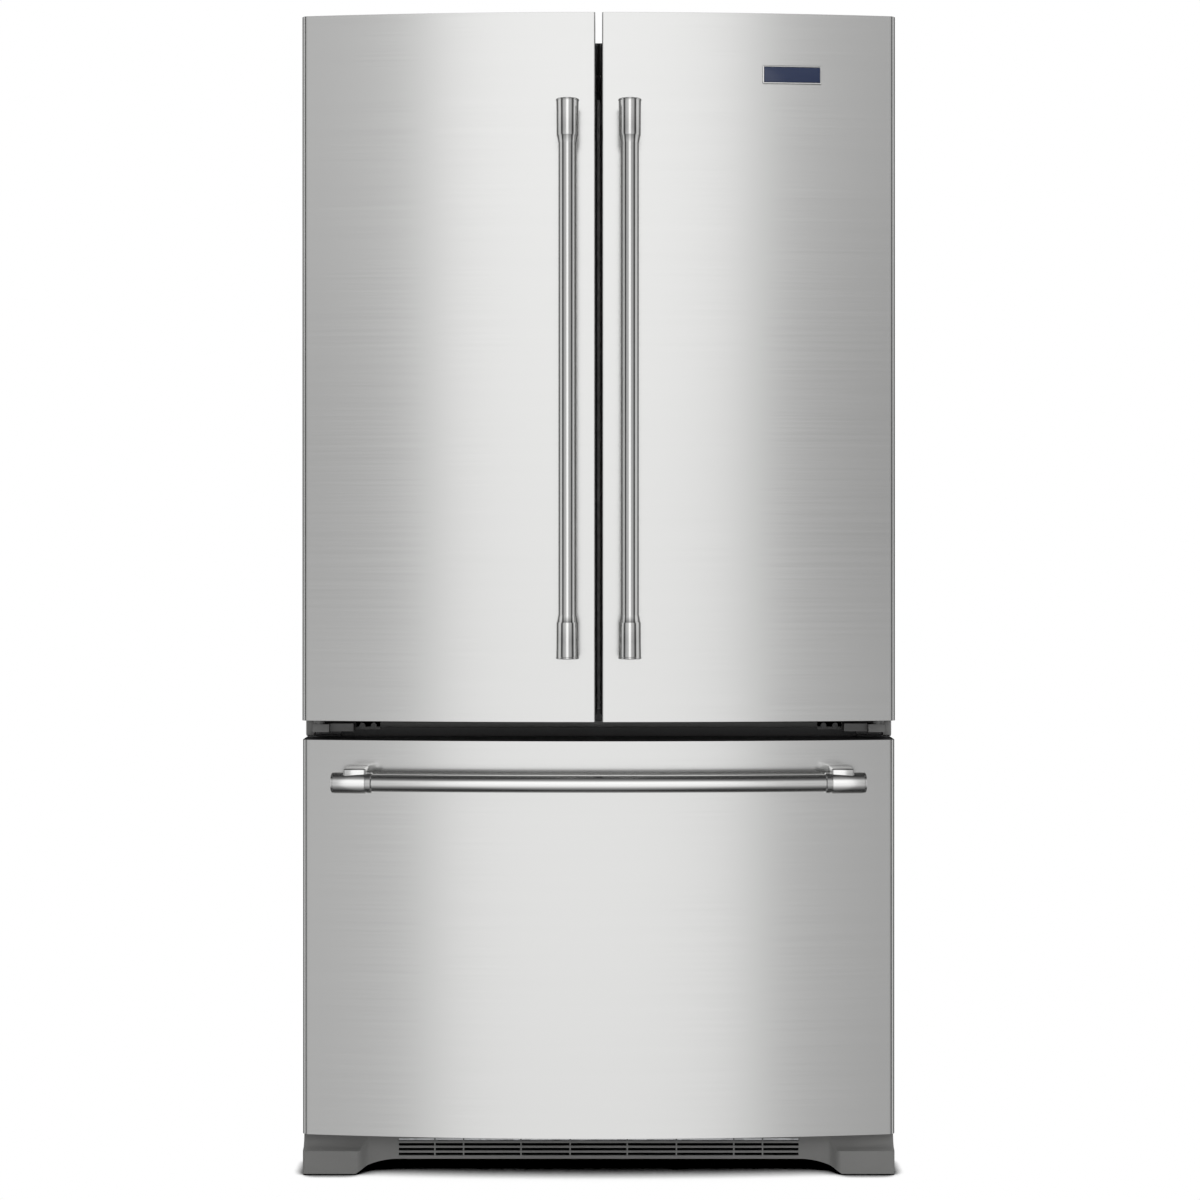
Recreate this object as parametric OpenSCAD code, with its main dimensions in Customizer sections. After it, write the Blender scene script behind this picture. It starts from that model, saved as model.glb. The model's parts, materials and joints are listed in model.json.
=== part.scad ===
// French door refrigerator with a bottom freezer drawer.
// Millimetres, +Z up. The origin is the centre of the footprint, on the floor; the front faces -Y.

/* [Overall] */
// Width over the doors
overall_w = 905; // [890:1:915]
// Height to the top of the doors
overall_h = 1765; // [1755:1:1790]
// Depth from the rear panel to the front of the handles
overall_d = 910; // [905:1:930]

/* [Cabinet] */
// Width of the steel cabinet
cab_w = 895; // [880:1:898]
// Depth of the cabinet without the doors
cab_d = 737; // [730:1:745]
// Height of the cabinet's top panel
cab_h = 1743; // [1735:1:1748]
// Thickness of the steel wrapper
shell_t = 1.2; // [0.8:0.1:1.6]
// Thickness of the plastic liners
liner_t = 3; // [2:0.5:4]

/* [Doors and drawer] */
// Gap between the two doors
door_gap = 10.5; // [8:0.5:14]
// Thickness of the doors at their outer edges
door_t = 70; // [64:1:74]
// How far the fronts bow forward at the centre
bow = 28; // [15:1:34]
// Space behind the doors that the gaskets fill
gasket_gap = 12; // [10:0.5:14]
// Underside of the freezer drawer above the floor
drawer_z = 62; // [60:1:70]
// Height of the freezer drawer front
drawer_h = 601; // [595:1:605]
// Gap between the drawer and the doors
mid_gap = 29; // [26:1:34]
// Thickness of the stainless skins
skin_t = 1; // [0.8:0.1:1.2]

/* [Handles] */
// Radius of the door handle bars
bar_r = 13.5; // [11:0.5:14]
// Radius of the drawer handle bar
drawer_bar_r = 13; // [10:0.5:14]
// Largest radius of the handle end cups
cup_r = 17.5; // [16:0.5:18]
// Largest radius of the drawer handle's end cups
drawer_cup_r = 16; // [14:0.5:17]
// Length of a door handle
handle_len = 834; // [700:1:900]
// Half the length of the drawer handle
drawer_handle_half = 400; // [300:1:410]
// Distance of the door handles from the centre line
handle_x = 46.5; // [40:0.5:60]

/* [Hidden] */
$fn = 48;

// ---- planes and driving lines ----
half_w = overall_w / 2;
y_rear = overall_d / 2;
y_cab = y_rear - cab_d;
y_door = y_cab - gasket_gap;
y_edge = y_door - door_t;
y_bow = y_edge - bow;
bow_r = (half_w * half_w + bow * bow) / (2 * bow);
bow_yc = y_bow + bow_r;
y_handle = -overall_d / 2 + cup_r;
door_z = drawer_z + drawer_h + mid_gap;
drawer_top = drawer_z + drawer_h;
cab_x = cab_w / 2;
open_x = 402;
fridge_z0 = 712;
fridge_z1 = 1693;
freezer_z0 = 92;
freezer_z1 = 655;
liner_back = 395;
foam_z0 = 62;
machine_y = 215;
machine_z1 = 255;
step_y = 170;
step_z = 300;
rear_skin_y = y_rear - 3;
rear_t = 1;
hinge_x = half_w - 22;
hinge_y = y_door - 32;
pin_r = 4;
running_gap = 0.05;
cap_h = 20;
pocket_z = overall_h - cap_h;

// ---- helpers ----
module block(a, b) translate(a) cube(b - a);
module both() {
    children();
    mirror([1, 0, 0]) children();
}
module along_x(x0, x1) translate([x0, 0, 0]) rotate([90, 0, 90]) linear_extrude(x1 - x0) children();
module along_y(y0, y1) translate([0, y1, 0]) rotate([90, 0, 0]) linear_extrude(y1 - y0) children();
module rod_x(x0, x1, y, z, r) translate([x0, y, z]) rotate([0, 90, 0]) cylinder(r = r, h = x1 - x0);
module rod_y(y0, y1, x, z, r) translate([x, y1, z]) rotate([90, 0, 0]) cylinder(r = r, h = y1 - y0);
module rod_z(z0, z1, x, y, r) translate([x, y, z0]) cylinder(r = r, h = z1 - z0);
module bin(a, b, t) difference() {
    block(a, b);
    block(a + [t, t, t], [b.x - t, b.y - t, b.z + 1]);
}

// y of the bowed front at x, moved back by t
function bow_y(x, t = 0) = bow_yc - sqrt(pow(bow_r - t, 2) - x * x);
// points of a rounded corner
function arc(cx, cy, r, a0, a1, n) =
    [for (i = [0 : n]) let (a = a0 + (a1 - a0) * i / n) [cx + r * cos(a), cy + r * sin(a)]];
// outline of a bowed panel seen from above: edges x0 and x1 with corner radii r0 and r1, inset by t
function panel_outline(x0, x1, r0, r1, t, yb) = concat(
    [[x1 - t, yb], [x0 + t, yb]],
    arc(x0 + r0, bow_y(x0 + r0) + r0, r0 - t, 180, 270, 5),
    [for (i = [1 : 23]) let (x = x0 + r0 + (x1 - x0 - r0 - r1) * i / 24) [x, bow_y(x, t)]],
    arc(x1 - r1, bow_y(x1 - r1) + r1, r1 - t, 270, 360, 5));

// ---- doors and drawer: shared shapes ----
edge_r = 8;
meet_r = 4;
return_w = 14;
door_in = door_gap / 2;
plate_t = 3;
dyke_out = 385;
dyke_in = 43;
dyke_w = 18;
dyke_y = y_cab + 35;
door_dyke_z0 = fridge_z0 + 15;
door_dyke_z1 = fridge_z1 - 15;
gasket_y = y_cab - 0.3;

module panel_2d(x0, x1, r0, r1, t, yb) polygon(panel_outline(x0, x1, r0, r1, t, yb));

module skin_2d(x0, x1, r0, r1) difference() {
    panel_2d(x0, x1, r0, r1, 0, y_door);
    panel_2d(x0, x1, r0, r1, skin_t, y_door - skin_t);
    translate([x0 + return_w, y_door - 3]) square([x1 - x0 - 2 * return_w, 6]);
}

module core_2d(x0, x1, r0, r1) {
    panel_2d(x0, x1, r0, r1, skin_t, y_door - skin_t);
    translate([x0 + return_w, y_door - 5]) square([x1 - x0 - 2 * return_w, 5]);
}

pocket_w = 68;
pocket_d = 26;
bush_r = 12;
low_bush_h = 32;
top_bush_h = 32;
cap_over = 6;
pin_depth = 26;
screw_r = 1.8;

// pocket over the hinge, open to the back and to the outer side
module hinge_pocket()
    block([hinge_x - pocket_w, hinge_y - pocket_d, pocket_z], [half_w + 5, y_door + 1, overall_h + 5]);

module pin_bore(z0, z1) rod_z(z0, z1, hinge_x, hinge_y, pin_r + running_gap);
module bush(z0, z1) rod_z(z0, z1, hinge_x, hinge_y, bush_r);

module door_skin() difference() {
    translate([0, 0, door_z]) linear_extrude(overall_h - door_z) skin_2d(door_in, half_w, meet_r, edge_r);
    hinge_pocket();
    handle_screws(screw_r);
}

module door_core() difference() {
    translate([0, 0, door_z + cap_h]) linear_extrude(pocket_z - door_z - cap_h - cap_over)
        core_2d(door_in, half_w, meet_r, edge_r);
    bush(door_z, door_z + low_bush_h);
    bush(pocket_z - top_bush_h, pocket_z);
    handle_screws(screw_r);
}

// recess in the underside of the lower end cap
cap_recess_x = [60, 90];
cap_recess_y = [50, 14];
cap_roof = 4;

module door_caps() {
    difference() {
        union() {
            translate([0, 0, door_z + 1]) linear_extrude(cap_h - 1)
                panel_2d(door_in, half_w, meet_r, edge_r, skin_t, y_door - skin_t);
            bush(door_z + 1, door_z + low_bush_h);
        }
        pin_bore(door_z, door_z + pin_depth);
        block([door_in + cap_recess_x[0], y_door - cap_recess_y[0], door_z],
            [half_w - cap_recess_x[1], y_door - cap_recess_y[1], door_z + cap_h - cap_roof]);
    }
    difference() {
        union() {
            translate([0, 0, pocket_z - cap_over]) linear_extrude(cap_h + cap_over - 1)
                panel_2d(door_in, half_w, meet_r, edge_r, skin_t, y_door - skin_t);
            bush(pocket_z - top_bush_h, pocket_z - 5);
        }
        hinge_pocket();
        pin_bore(pocket_z - pin_depth, pocket_z + 1);
    }
}

liner_in = 3.5;
liner_out = 16;

// inner panel of a door, with the raised ridge that stands inside the compartment
module door_liner() {
    block([door_in + liner_in, y_door, door_z + 3], [half_w - liner_out, y_door + plate_t, cab_h - 2]);
    frame_ring([dyke_in, door_dyke_z0], [dyke_out, door_dyke_z1], dyke_w, y_door + plate_t, dyke_y);
}

module frame_ring(a, b, w, y0, y1) difference() {
    block([a.x, y0, a.y], [b.x, y1, b.y]);
    block([a.x + w, y0 - 1, a.y + w], [b.x - w, y1 + 1, b.y - w]);
}

gasket_w = 15;
gasket_out = 20.5;
groove_w = 6;
groove_in = 3;
lip_x = 3;
lip_t = 2.5;
strip_x = 2.25;
strip_z0 = 769;
strip_z1 = 1665;

// magnetic gasket: a bellows ring with a groove, and a lip that narrows the slit between the doors
module door_gasket() {
    y0 = y_door + plate_t;
    difference() {
        union() {
            frame_ring([door_in + 4, door_z + 4], [half_w - gasket_out, cab_h - 4], gasket_w, y0, gasket_y);
            block([lip_x, y0, door_z + 4], [door_in + 6, y0 + lip_t, cab_h - 4]);
        }
        difference() {
            frame_ring([door_in + 4 - groove_in, door_z + 4 - groove_in],
                [half_w - gasket_out + groove_in, cab_h - 4 + groove_in], groove_w, y0 + 3.5, gasket_y - 3);
            block([0, y_door - 20, 0], [door_in + 2, y_cab + 20, overall_h]);
        }
    }
}

// strip on the left door's lip that covers the rest of the slit
module slit_strip() block([-strip_x, y_door + plate_t, strip_z0],
    [lip_x + 1, y_door + plate_t + lip_t, strip_z1]);

bin_x0 = dyke_in + dyke_w + 1;
bin_x1 = dyke_out - dyke_w - 1;
bin_y0 = y_door + plate_t + 0.5;
bin_y1 = y_cab + 97;
bin_t = 2.5;
bin_lip_w = 5;
bin_lip_h = 14;
door_bin_levels = [[985, 118], [1222, 92], [1434, 92]];
jar_bin_level = [1585, 72];

module door_bin(z, h) {
    bin([bin_x0, bin_y0, z], [bin_x1, bin_y1, z + h], bin_t);
    // rolled lip along the inner edge
    block([bin_x0, bin_y1, z + h - bin_lip_h], [bin_x1, bin_y1 + bin_lip_w, z + h]);
}

// ---- handles ----
cup_len = 55;
cone_len = 10;
post_w = 24;
post_h = 34;
handle_drop = 141;
handle_z1 = overall_h - handle_drop;
handle_z0 = handle_z1 - handle_len;
post_in = 28;

// end cup: flared, with a chamfered open end and a cone down to the bar
module cup(r_bar, r_end, len) rotate_extrude() polygon([
    [0, 1.2], [r_end - 4.5, 0], [r_end - 1, 0], [r_end, 1.5], [r_end - 1.2, len],
    [r_bar + 0.4, len + cone_len], [0, len + cone_len]]);

module handle_screws(r) for (z = [handle_z0 + post_in, handle_z1 - post_in])
    rod_y(y_bow - 1, y_bow + 14, handle_x, z, r);

module door_handle() difference() {
    union() {
        translate([handle_x, y_handle, handle_z0]) cup(bar_r, cup_r, cup_len);
        translate([handle_x, y_handle, handle_z1]) mirror([0, 0, 1]) cup(bar_r, cup_r, cup_len);
        rod_z(handle_z0 + cup_len, handle_z1 - cup_len, handle_x, y_handle, bar_r);
        for (z = [handle_z0 + post_in, handle_z1 - post_in])
            block([handle_x - post_w / 2, y_handle, z - post_h / 2],
                [handle_x + post_w / 2, bow_y(handle_x - post_w / 2) - 0.1, z + post_h / 2]);
    }
    handle_screws(screw_r);
}

drawer_handle_z = drawer_top - 59.5;
drawer_cup_len = 62;
drawer_bar_arc = bow_yc - y_handle;
drawer_end_angle = asin((drawer_handle_half - drawer_cup_len) / drawer_bar_arc);
drawer_post_x = 365;
drawer_post_half = 17;
drawer_post_z = [-11, 22];
drawer_post_y = -360;

// the drawer handle follows the bow of the front
module drawer_handle() {
    translate([0, bow_yc, drawer_handle_z]) rotate([0, 0, -90 - drawer_end_angle])
        rotate_extrude(angle = 2 * drawer_end_angle, $fn = 200) translate([drawer_bar_arc, 0])
            circle(drawer_bar_r);
    for (s = [-1, 1]) {
        translate([0, bow_yc, drawer_handle_z]) rotate([0, 0, s * drawer_end_angle])
            translate([s * 0.02, -drawer_bar_arc, 0]) rotate([0, s * 90, 0])
                rotate_extrude() polygon([[0, -4], [drawer_bar_r + 0.6, -4], [drawer_cup_r - 0.2, 2],
                    [drawer_cup_r, 8], [drawer_cup_r, drawer_cup_len - 3],
                    [drawer_cup_r - 1.4, drawer_cup_len - 0.8], [0, drawer_cup_len]]);
        difference() {
            block([s * drawer_post_x - drawer_post_half, y_handle + 8, drawer_handle_z + drawer_post_z[0]],
                [s * drawer_post_x + drawer_post_half, drawer_post_y, drawer_handle_z + drawer_post_z[1]]);
            translate([0, bow_yc, 0]) cylinder(r = bow_r + 0.1, h = overall_h, $fn = 256);
        }
    }
}

// ---- left and right door nodes ----
module left() mirror([1, 0, 0]) children();

module left_door_skin() color("silver") left() door_skin();
module right_door_skin() color("silver") door_skin();
module left_door_core() color("wheat") left() door_core();
module right_door_core() color("wheat") door_core();
module left_door_caps() color("dimgray") left() door_caps();
module right_door_caps() color("dimgray") door_caps();
module left_door_gasket() color("gray") left() {
    door_gasket();
    slit_strip();
}
module right_door_gasket() color("gray") door_gasket();
module left_handle() color("lightgray") left() door_handle();
module right_handle() color("lightgray") door_handle();
module right_door_liner() color("white") door_liner();

flip_x = -33;
flip_y = y_cab + 18.5;
flip_z0 = fridge_z0 + 12;
flip_z1 = fridge_z1 - 12;
flip_knuckles = [flip_z0 + 90, (flip_z0 + flip_z1) / 2, flip_z1 - 90];
flip_t = 18;
flip_w = 56;
flip_pin_r = 3;
ear_r = 6;
ear_z = [20, 26];
ear_notch = [19.5, 27];
heater_y = [4, 46];

// the left liner also carries the three pins that the flipper mullion turns on
module left_door_liner() color("white") {
    left() door_liner();
    for (z = flip_knuckles) translate([0, 0, z]) {
        rod_z(-ear_z[1], ear_z[1], flip_x, flip_y, flip_pin_r);
        for (s = [0, 1]) mirror([0, 0, s]) {
            rod_z(ear_z[0], ear_z[1], flip_x, flip_y, ear_r);
            block([-dyke_in, flip_y + 0.5, ear_z[0]], [flip_x - 0.5, flip_y + 5.5, ear_z[1]]);
        }
    }
}

module left_door_bins() color("whitesmoke") left() {
    for (l = door_bin_levels) door_bin(l[0], l[1]);
    door_bin(jar_bin_level[0], jar_bin_level[1]);
}

dairy_z = 1570;
dairy_h = 78;
dairy_pin_y = bin_y1 - 38;
dairy_pin_r = 2;
dairy_pin_z = dairy_z + dairy_h - 6;
dairy_front = 12;
dairy_sill = 24;
lid_gap = 3.2;
lid_tube_r = 3.3;
lid_grip = 90;

module right_door_bins() color("whitesmoke") {
    for (l = door_bin_levels) door_bin(l[0], l[1]);
    // dairy compartment: open front, closed by the lid
    difference() {
        block([bin_x0, bin_y0, dairy_z], [bin_x1, bin_y1 - dairy_front, dairy_z + dairy_h]);
        block([bin_x0 + bin_t, bin_y0 + bin_t, dairy_z + bin_t],
            [bin_x1 - bin_t, bin_y1, dairy_z + dairy_h - bin_t]);
        block([bin_x0 - 1, dairy_pin_y + 6, dairy_z + dairy_sill],
            [bin_x1 + 1, bin_y1, dairy_z + dairy_h + 1]);
        block([bin_x0 + bin_t, dairy_pin_y - 6, dairy_z + dairy_sill],
            [bin_x1 - bin_t, bin_y1, dairy_z + dairy_h + 1]);
    }
    both_ends() rod_x(bin_x0, bin_x0 + 6, dairy_pin_y, dairy_pin_z, dairy_pin_r);
}

// repeats a shape at both ends of a door bin
module both_ends() {
    children();
    translate([bin_x0 + bin_x1, 0, 0]) mirror([1, 0, 0]) children();
}

// clear lid of the dairy compartment, hinged at its upper edge
module dairy_lid() color("lightcyan") difference() {
    union() {
        rod_x(bin_x0 + lid_gap, bin_x1 - lid_gap, dairy_pin_y, dairy_pin_z, lid_tube_r);
        block([bin_x0 + lid_gap, dairy_pin_y + 1, dairy_pin_z - lid_tube_r],
            [bin_x1 - lid_gap, bin_y1 - 8, dairy_pin_z - 1]);
        block([bin_x0 + lid_gap, bin_y1 - 10.5, dairy_z + 12],
            [bin_x1 - lid_gap, bin_y1 - 7.5, dairy_pin_z - 1]);
        block([bin_x0 + lid_grip, bin_y1 - 8, dairy_z + 12], [bin_x1 - lid_grip, bin_y1, dairy_z + 15]);
    }
    rod_x(bin_x0, bin_x1, dairy_pin_y, dairy_pin_z, dairy_pin_r + running_gap);
}

// mullion bar that seals the gap between the doors; shown folded back, as the open door carries it
module flipper_mullion() color("dimgray") difference() {
    union() {
        block([flip_x, flip_y - 7, flip_z0], [flip_x + flip_t, flip_y + flip_w, flip_z1]);
        for (z = flip_knuckles) rod_z(z - ear_z[0] + 0.5, z + ear_z[0] - 0.5, flip_x, flip_y, ear_r);
    }
    for (z = flip_knuckles) {
        rod_z(z - ear_notch[1], z + ear_notch[1], flip_x, flip_y, flip_pin_r + running_gap);
        for (s = [0, 1]) translate([0, 0, z]) mirror([0, 0, s])
            rod_z(ear_notch[0], ear_notch[1], flip_x, flip_y, ear_r + 2);
    }
    // recess for the heater strip along the sealing face
    block([flip_x + flip_t - 1.5, flip_y + heater_y[0], flip_z0 + 20],
        [flip_x + flip_t + 1, flip_y + heater_y[1], flip_z1 - 20]);
}

badge_x = 293;
badge_w = 91;
badge_h = 28;
badge_z = 1672;
badge_t = 3;
badge_rim = 3;
inlay_t = [1, 2.2];

// plate of the badge's outline, inset by d, from y0 to y1 in front of the door
module badge_plate(d, y0, y1) block([-badge_w / 2 + d, -y1, -badge_h / 2 + d],
    [badge_w / 2 - d, -y0, badge_h / 2 - d]);

// plain two-part badge: a metal frame with a blank inlay
module badge() color("lightsteelblue")
    translate([0, bow_yc, badge_z]) rotate([0, 0, asin(badge_x / bow_r)]) translate([0, -bow_r - 0.1, 0]) {
        difference() {
            badge_plate(0, 0, badge_t);
            badge_plate(badge_rim, 1, badge_t + 1);
        }
        badge_plate(badge_rim + 0.2, inlay_t[0], inlay_t[1]);
    }

// ---- freezer drawer ----
drawer_dyke_x = 372;
drawer_dyke_z0 = freezer_z0 + 15;
drawer_dyke_z1 = freezer_z1 - 15;

drawer_x = half_w - 1;

module drawer_skin() color("silver") translate([0, 0, drawer_z]) linear_extrude(drawer_h)
    skin_2d(-drawer_x, drawer_x, edge_r, edge_r);

module drawer_core() color("wheat") {
    translate([0, 0, drawer_z + cap_h]) linear_extrude(drawer_h - 2 * cap_h)
        core_2d(-drawer_x, drawer_x, edge_r, edge_r);
}

// inner panel with its raised ridge, and the two end caps
module drawer_liner() color("white") {
    block([-half_w + liner_out, y_door, drawer_z + 3],
        [half_w - liner_out, y_door + plate_t, drawer_top - 3]);
    frame_ring([-drawer_dyke_x, drawer_dyke_z0],
        [drawer_dyke_x, drawer_dyke_z1], dyke_w, y_door + plate_t, y_cab + 14);
    for (z = [drawer_z + 1, drawer_top - cap_h]) translate([0, 0, z]) linear_extrude(cap_h - 1)
        panel_2d(-drawer_x, drawer_x, edge_r, edge_r, skin_t, y_door - skin_t);
}

module drawer_gasket() color("gray") difference() {
    frame_ring([-half_w + gasket_out, drawer_z + 4], [half_w - gasket_out, drawer_top - 4], gasket_w,
        y_door + plate_t, gasket_y);
    frame_ring([-half_w + gasket_out - groove_in, drawer_z + 4 - groove_in],
        [half_w - gasket_out + groove_in, drawer_top - 4 + groove_in], groove_w,
        y_door + plate_t + 3.5, gasket_y - 3);
}

rail_z = 351;
rail_y0 = y_cab + 14;
rail_len = 480;
rail_x = open_x - liner_t;

// C section of a telescopic slide, web at x = 0, opening towards the middle of the cabinet
module channel(depth, h, t) difference() {
    translate([-depth, -h / 2]) square([depth, h]);
    translate([-depth - 1, -h / 2 + t]) square([depth + 1 - t, h - 2 * t]);
}

module slide_outer_rails() color("slategray") both()
    along_y(rail_y0, rail_y0 + rail_len) translate([rail_x, rail_z]) channel(13, 44, 2);

module slide_middle_rails() color("lightslategray") both()
    along_y(rail_y0, rail_y0 + rail_len) translate([rail_x - 2.5, rail_z]) channel(10, 37, 2);

// inner members, with the arms that carry the drawer front and the ledges that carry the basket
slide_arm_x = rail_x - 17;
module slide_inner_rails() color("gainsboro") both() {
    block([rail_x - 11, rail_y0, rail_z - 13], [rail_x - 5.5, rail_y0 + rail_len, rail_z + 13]);
    block([slide_arm_x + 1, rail_y0, rail_z - 10], [rail_x - 10, rail_y0 + 400, rail_z + 10]);
    block([slide_arm_x, y_door + plate_t, basket_z1 - 9], [slide_arm_x + 3, rail_y0 + 400, rail_z + 20]);
    block([basket_x + 3, basket_y0, basket_z1 - 9], [slide_arm_x + 1, basket_y1, basket_z1 - 5.2]);
    block([basket_x + 3, y_door + plate_t, basket_z1 - 9],
        [slide_arm_x + 1, y_door + plate_t + 3, rail_z + 42]);
}

basket_x = 370;
basket_y0 = y_cab + 17;
basket_y1 = 150;
basket_z0 = 112;
basket_z1 = 318;
basket_t = 3;
rim_w = 10;
rim_t = 5;
vent_z = [50, 40];
side_vent_w = 16;
side_vent_pitch = 40;
front_vent_half = 10;
front_vent_pitch = 60;

module freezer_basket() color("whitesmoke") difference() {
    union() {
        bin([-basket_x, basket_y0, basket_z0], [basket_x, basket_y1, basket_z1], basket_t);
        // rim that rests on the slide arms and carries the tray
        both() block([basket_x - 1, basket_y0, basket_z1 - rim_t], [basket_x + rim_w, basket_y1, basket_z1]);
    }
    for (i = [1 : 9]) both() translate([0, basket_y0 + i * side_vent_pitch, 0])
        block([basket_x - 8, 0, basket_z0 + vent_z[0]], [basket_x + 2, side_vent_w, basket_z1 - vent_z[1]]);
    for (i = [-5 : 5]) translate([i * front_vent_pitch, 0, 0])
        block([-front_vent_half, basket_y0 - 1, basket_z0 + vent_z[0]],
            [front_vent_half, basket_y1 + 1, basket_z1 - vent_z[1]]);
}

tray_x = basket_x - 6;
tray_y0 = basket_y1 - 210;
tray_t = 3;
tray_h = 96;

module freezer_tray() color("aliceblue") {
    bin([-tray_x, tray_y0, basket_z1 + 1], [tray_x, basket_y1, basket_z1 + tray_h], tray_t);
    both() block([tray_x - 2, tray_y0, basket_z1 + 0.3], [basket_x + 8, basket_y1, basket_z1 + tray_t]);
}

// ---- cabinet ----
module cabinet_shell() color("gray") difference() {
    block([-cab_x, y_cab, 30], [cab_x, rear_skin_y, cab_h]);
    block([-cab_x + shell_t, y_cab + shell_t, 0], [cab_x - shell_t, y_rear + 1, cab_h - shell_t]);
    block([-open_x, y_cab - 1, 0], [open_x, y_cab + 2, fridge_z1]);
}

module freezer_profile(t) polygon([
    [y_cab - 1, freezer_z0 + t], [step_y - t, freezer_z0 + t], [step_y - t, step_z + t],
    [liner_back - t, step_z + t], [liner_back - t, freezer_z1 - t], [y_cab - 1, freezer_z1 - t]]);

// hard foam between the wrapper and the liners
module insulation_foam() color("khaki") difference() {
    block([-cab_x + shell_t, y_cab + shell_t, foam_z0],
        [cab_x - shell_t, rear_skin_y - rear_t, cab_h - shell_t]);
    block([-open_x, y_cab - 1, fridge_z0], [open_x, liner_back, fridge_z1]);
    along_x(-open_x, open_x) freezer_profile(0);
    block([-open_x, y_cab - 1, freezer_z1 - 1], [open_x, y_cab + 20, fridge_z0 + 1]);
    block([-open_x, y_cab - 1, 0], [open_x, y_cab + 3, freezer_z0]);
    block([-cab_x, machine_y, 0], [cab_x, y_rear, machine_z1]);
}

module fridge_liner() color("white") difference() {
    block([-open_x, y_cab, fridge_z0], [open_x, liner_back, fridge_z1]);
    block([-open_x + liner_t, y_cab - 1, fridge_z0 + liner_t],
        [open_x - liner_t, liner_back - liner_t, fridge_z1 - liner_t]);
}

module freezer_liner() color("white") difference() {
    intersection() {
        along_x(-open_x, open_x) freezer_profile(0);
        block([-cab_x, y_cab, 0], [cab_x, y_rear, cab_h]);
    }
    along_x(-open_x + liner_t, open_x - liner_t) freezer_profile(liner_t);
}

module center_rail() color("dimgray") difference() {
    block([-open_x, y_cab, freezer_z1], [open_x, y_cab + 20, fridge_z0]);
    block([-open_x + 2, y_cab + 2, freezer_z1 + 2], [open_x - 2, y_cab + 21, fridge_z0 - 2]);
}

screw_head_r = 4.5;
field_half = 80;
field_pitch = 220;

// rear sheet with three embossed stiffening fields and its screws
module rear_panel() color("lightgray") {
    block([-cab_x + shell_t, rear_skin_y - rear_t, machine_z1 + 1],
        [cab_x - shell_t, rear_skin_y, cab_h - 2]);
    for (i = [-1 : 1]) translate([i * field_pitch, 0, 0])
        block([-field_half, rear_skin_y - 0.5, machine_z1 + 60], [field_half, y_rear - 2, cab_h - 60]);
    for (i = [0 : 6]) both()
        rod_y(rear_skin_y - 0.5, y_rear - 0.5, cab_x - 12, machine_z1 + 40 + i * 235, screw_head_r);
}

// cover of the machine compartment, with louvres and a cut-out for the water inlet
valve_x = 370;
valve_z = 205;
inlet_r = 5.55;
louvre_w = 12;
louvre_pitch = 22;
louvre_z = [60, 150];
louvre_h = 70;

// louvres from x, n in each of two rows
module louvres(x, n) for (i = [0 : n - 1]) for (z = louvre_z) translate([x + i * louvre_pitch, 0, z])
    block([0, rear_skin_y - 3, 0], [louvre_w, y_rear, louvre_h]);

module machine_cover() color("darkgray") {
    difference() {
        block([-cab_x + 6, rear_skin_y - 1.5, 40], [cab_x - 6, rear_skin_y, machine_z1 - 1]);
        louvres(-370, 12);
        louvres(40, 10);
        rod_y(rear_skin_y - 3, y_rear, valve_x, valve_z, 18);
        rod_y(rear_skin_y - 3, y_rear, cord_x, cord_z, cord_hole_r);
    }
    for (x = [-420, -20, 420]) rod_y(rear_skin_y, y_rear - 0.5, x, machine_z1 - 10, screw_head_r);
}

// solenoid valve of the ice maker, with its threaded inlet stub
module water_valve() color("white") {
    block([valve_x - 22, 385, valve_z - 16], [valve_x + 22, 425, valve_z + 18]);
    rod_z(valve_z + 18, valve_z + 38, valve_x, 405, 15);
    rod_y(425, 433, valve_x, valve_z, 9.5);
    rod_y(433, y_rear, valve_x, valve_z, inlet_r);
    block([valve_x + 22, 400, valve_z - 14], [cab_x - shell_t, 412, valve_z - 11]);
}

wheel_x0 = 390;
wheel_x1 = 410;
front_wheel_y = y_cab + 67;
rear_wheel_y = y_rear - 35;
front_wheel_r = 22;
rear_wheel_r = 25;
front_wheel_z = front_wheel_r + 1.5;
rear_wheel_z = rear_wheel_r;
foot_x = 405;
foot_y = y_cab + 25;
fork_half = 14;
fork_t = 3;
side_rail_x = 424;
frame_z = 30;
foot_plate_z = 40;
foot_stem_r = 5;

module roller_fork(y, z) {
    for (x = [wheel_x0 - 4, wheel_x1 + 1]) block([x, y - fork_half, z - 8],
        [x + fork_t, y + fork_half, foam_z0]);
    block([wheel_x0 - 4, y - fork_half, foam_z0 - fork_t], [side_rail_x + 1, y + fork_half, foam_z0]);
    rod_x(wheel_x0 - 6, wheel_x1 + 6, y, z, pin_r);
}

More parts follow.
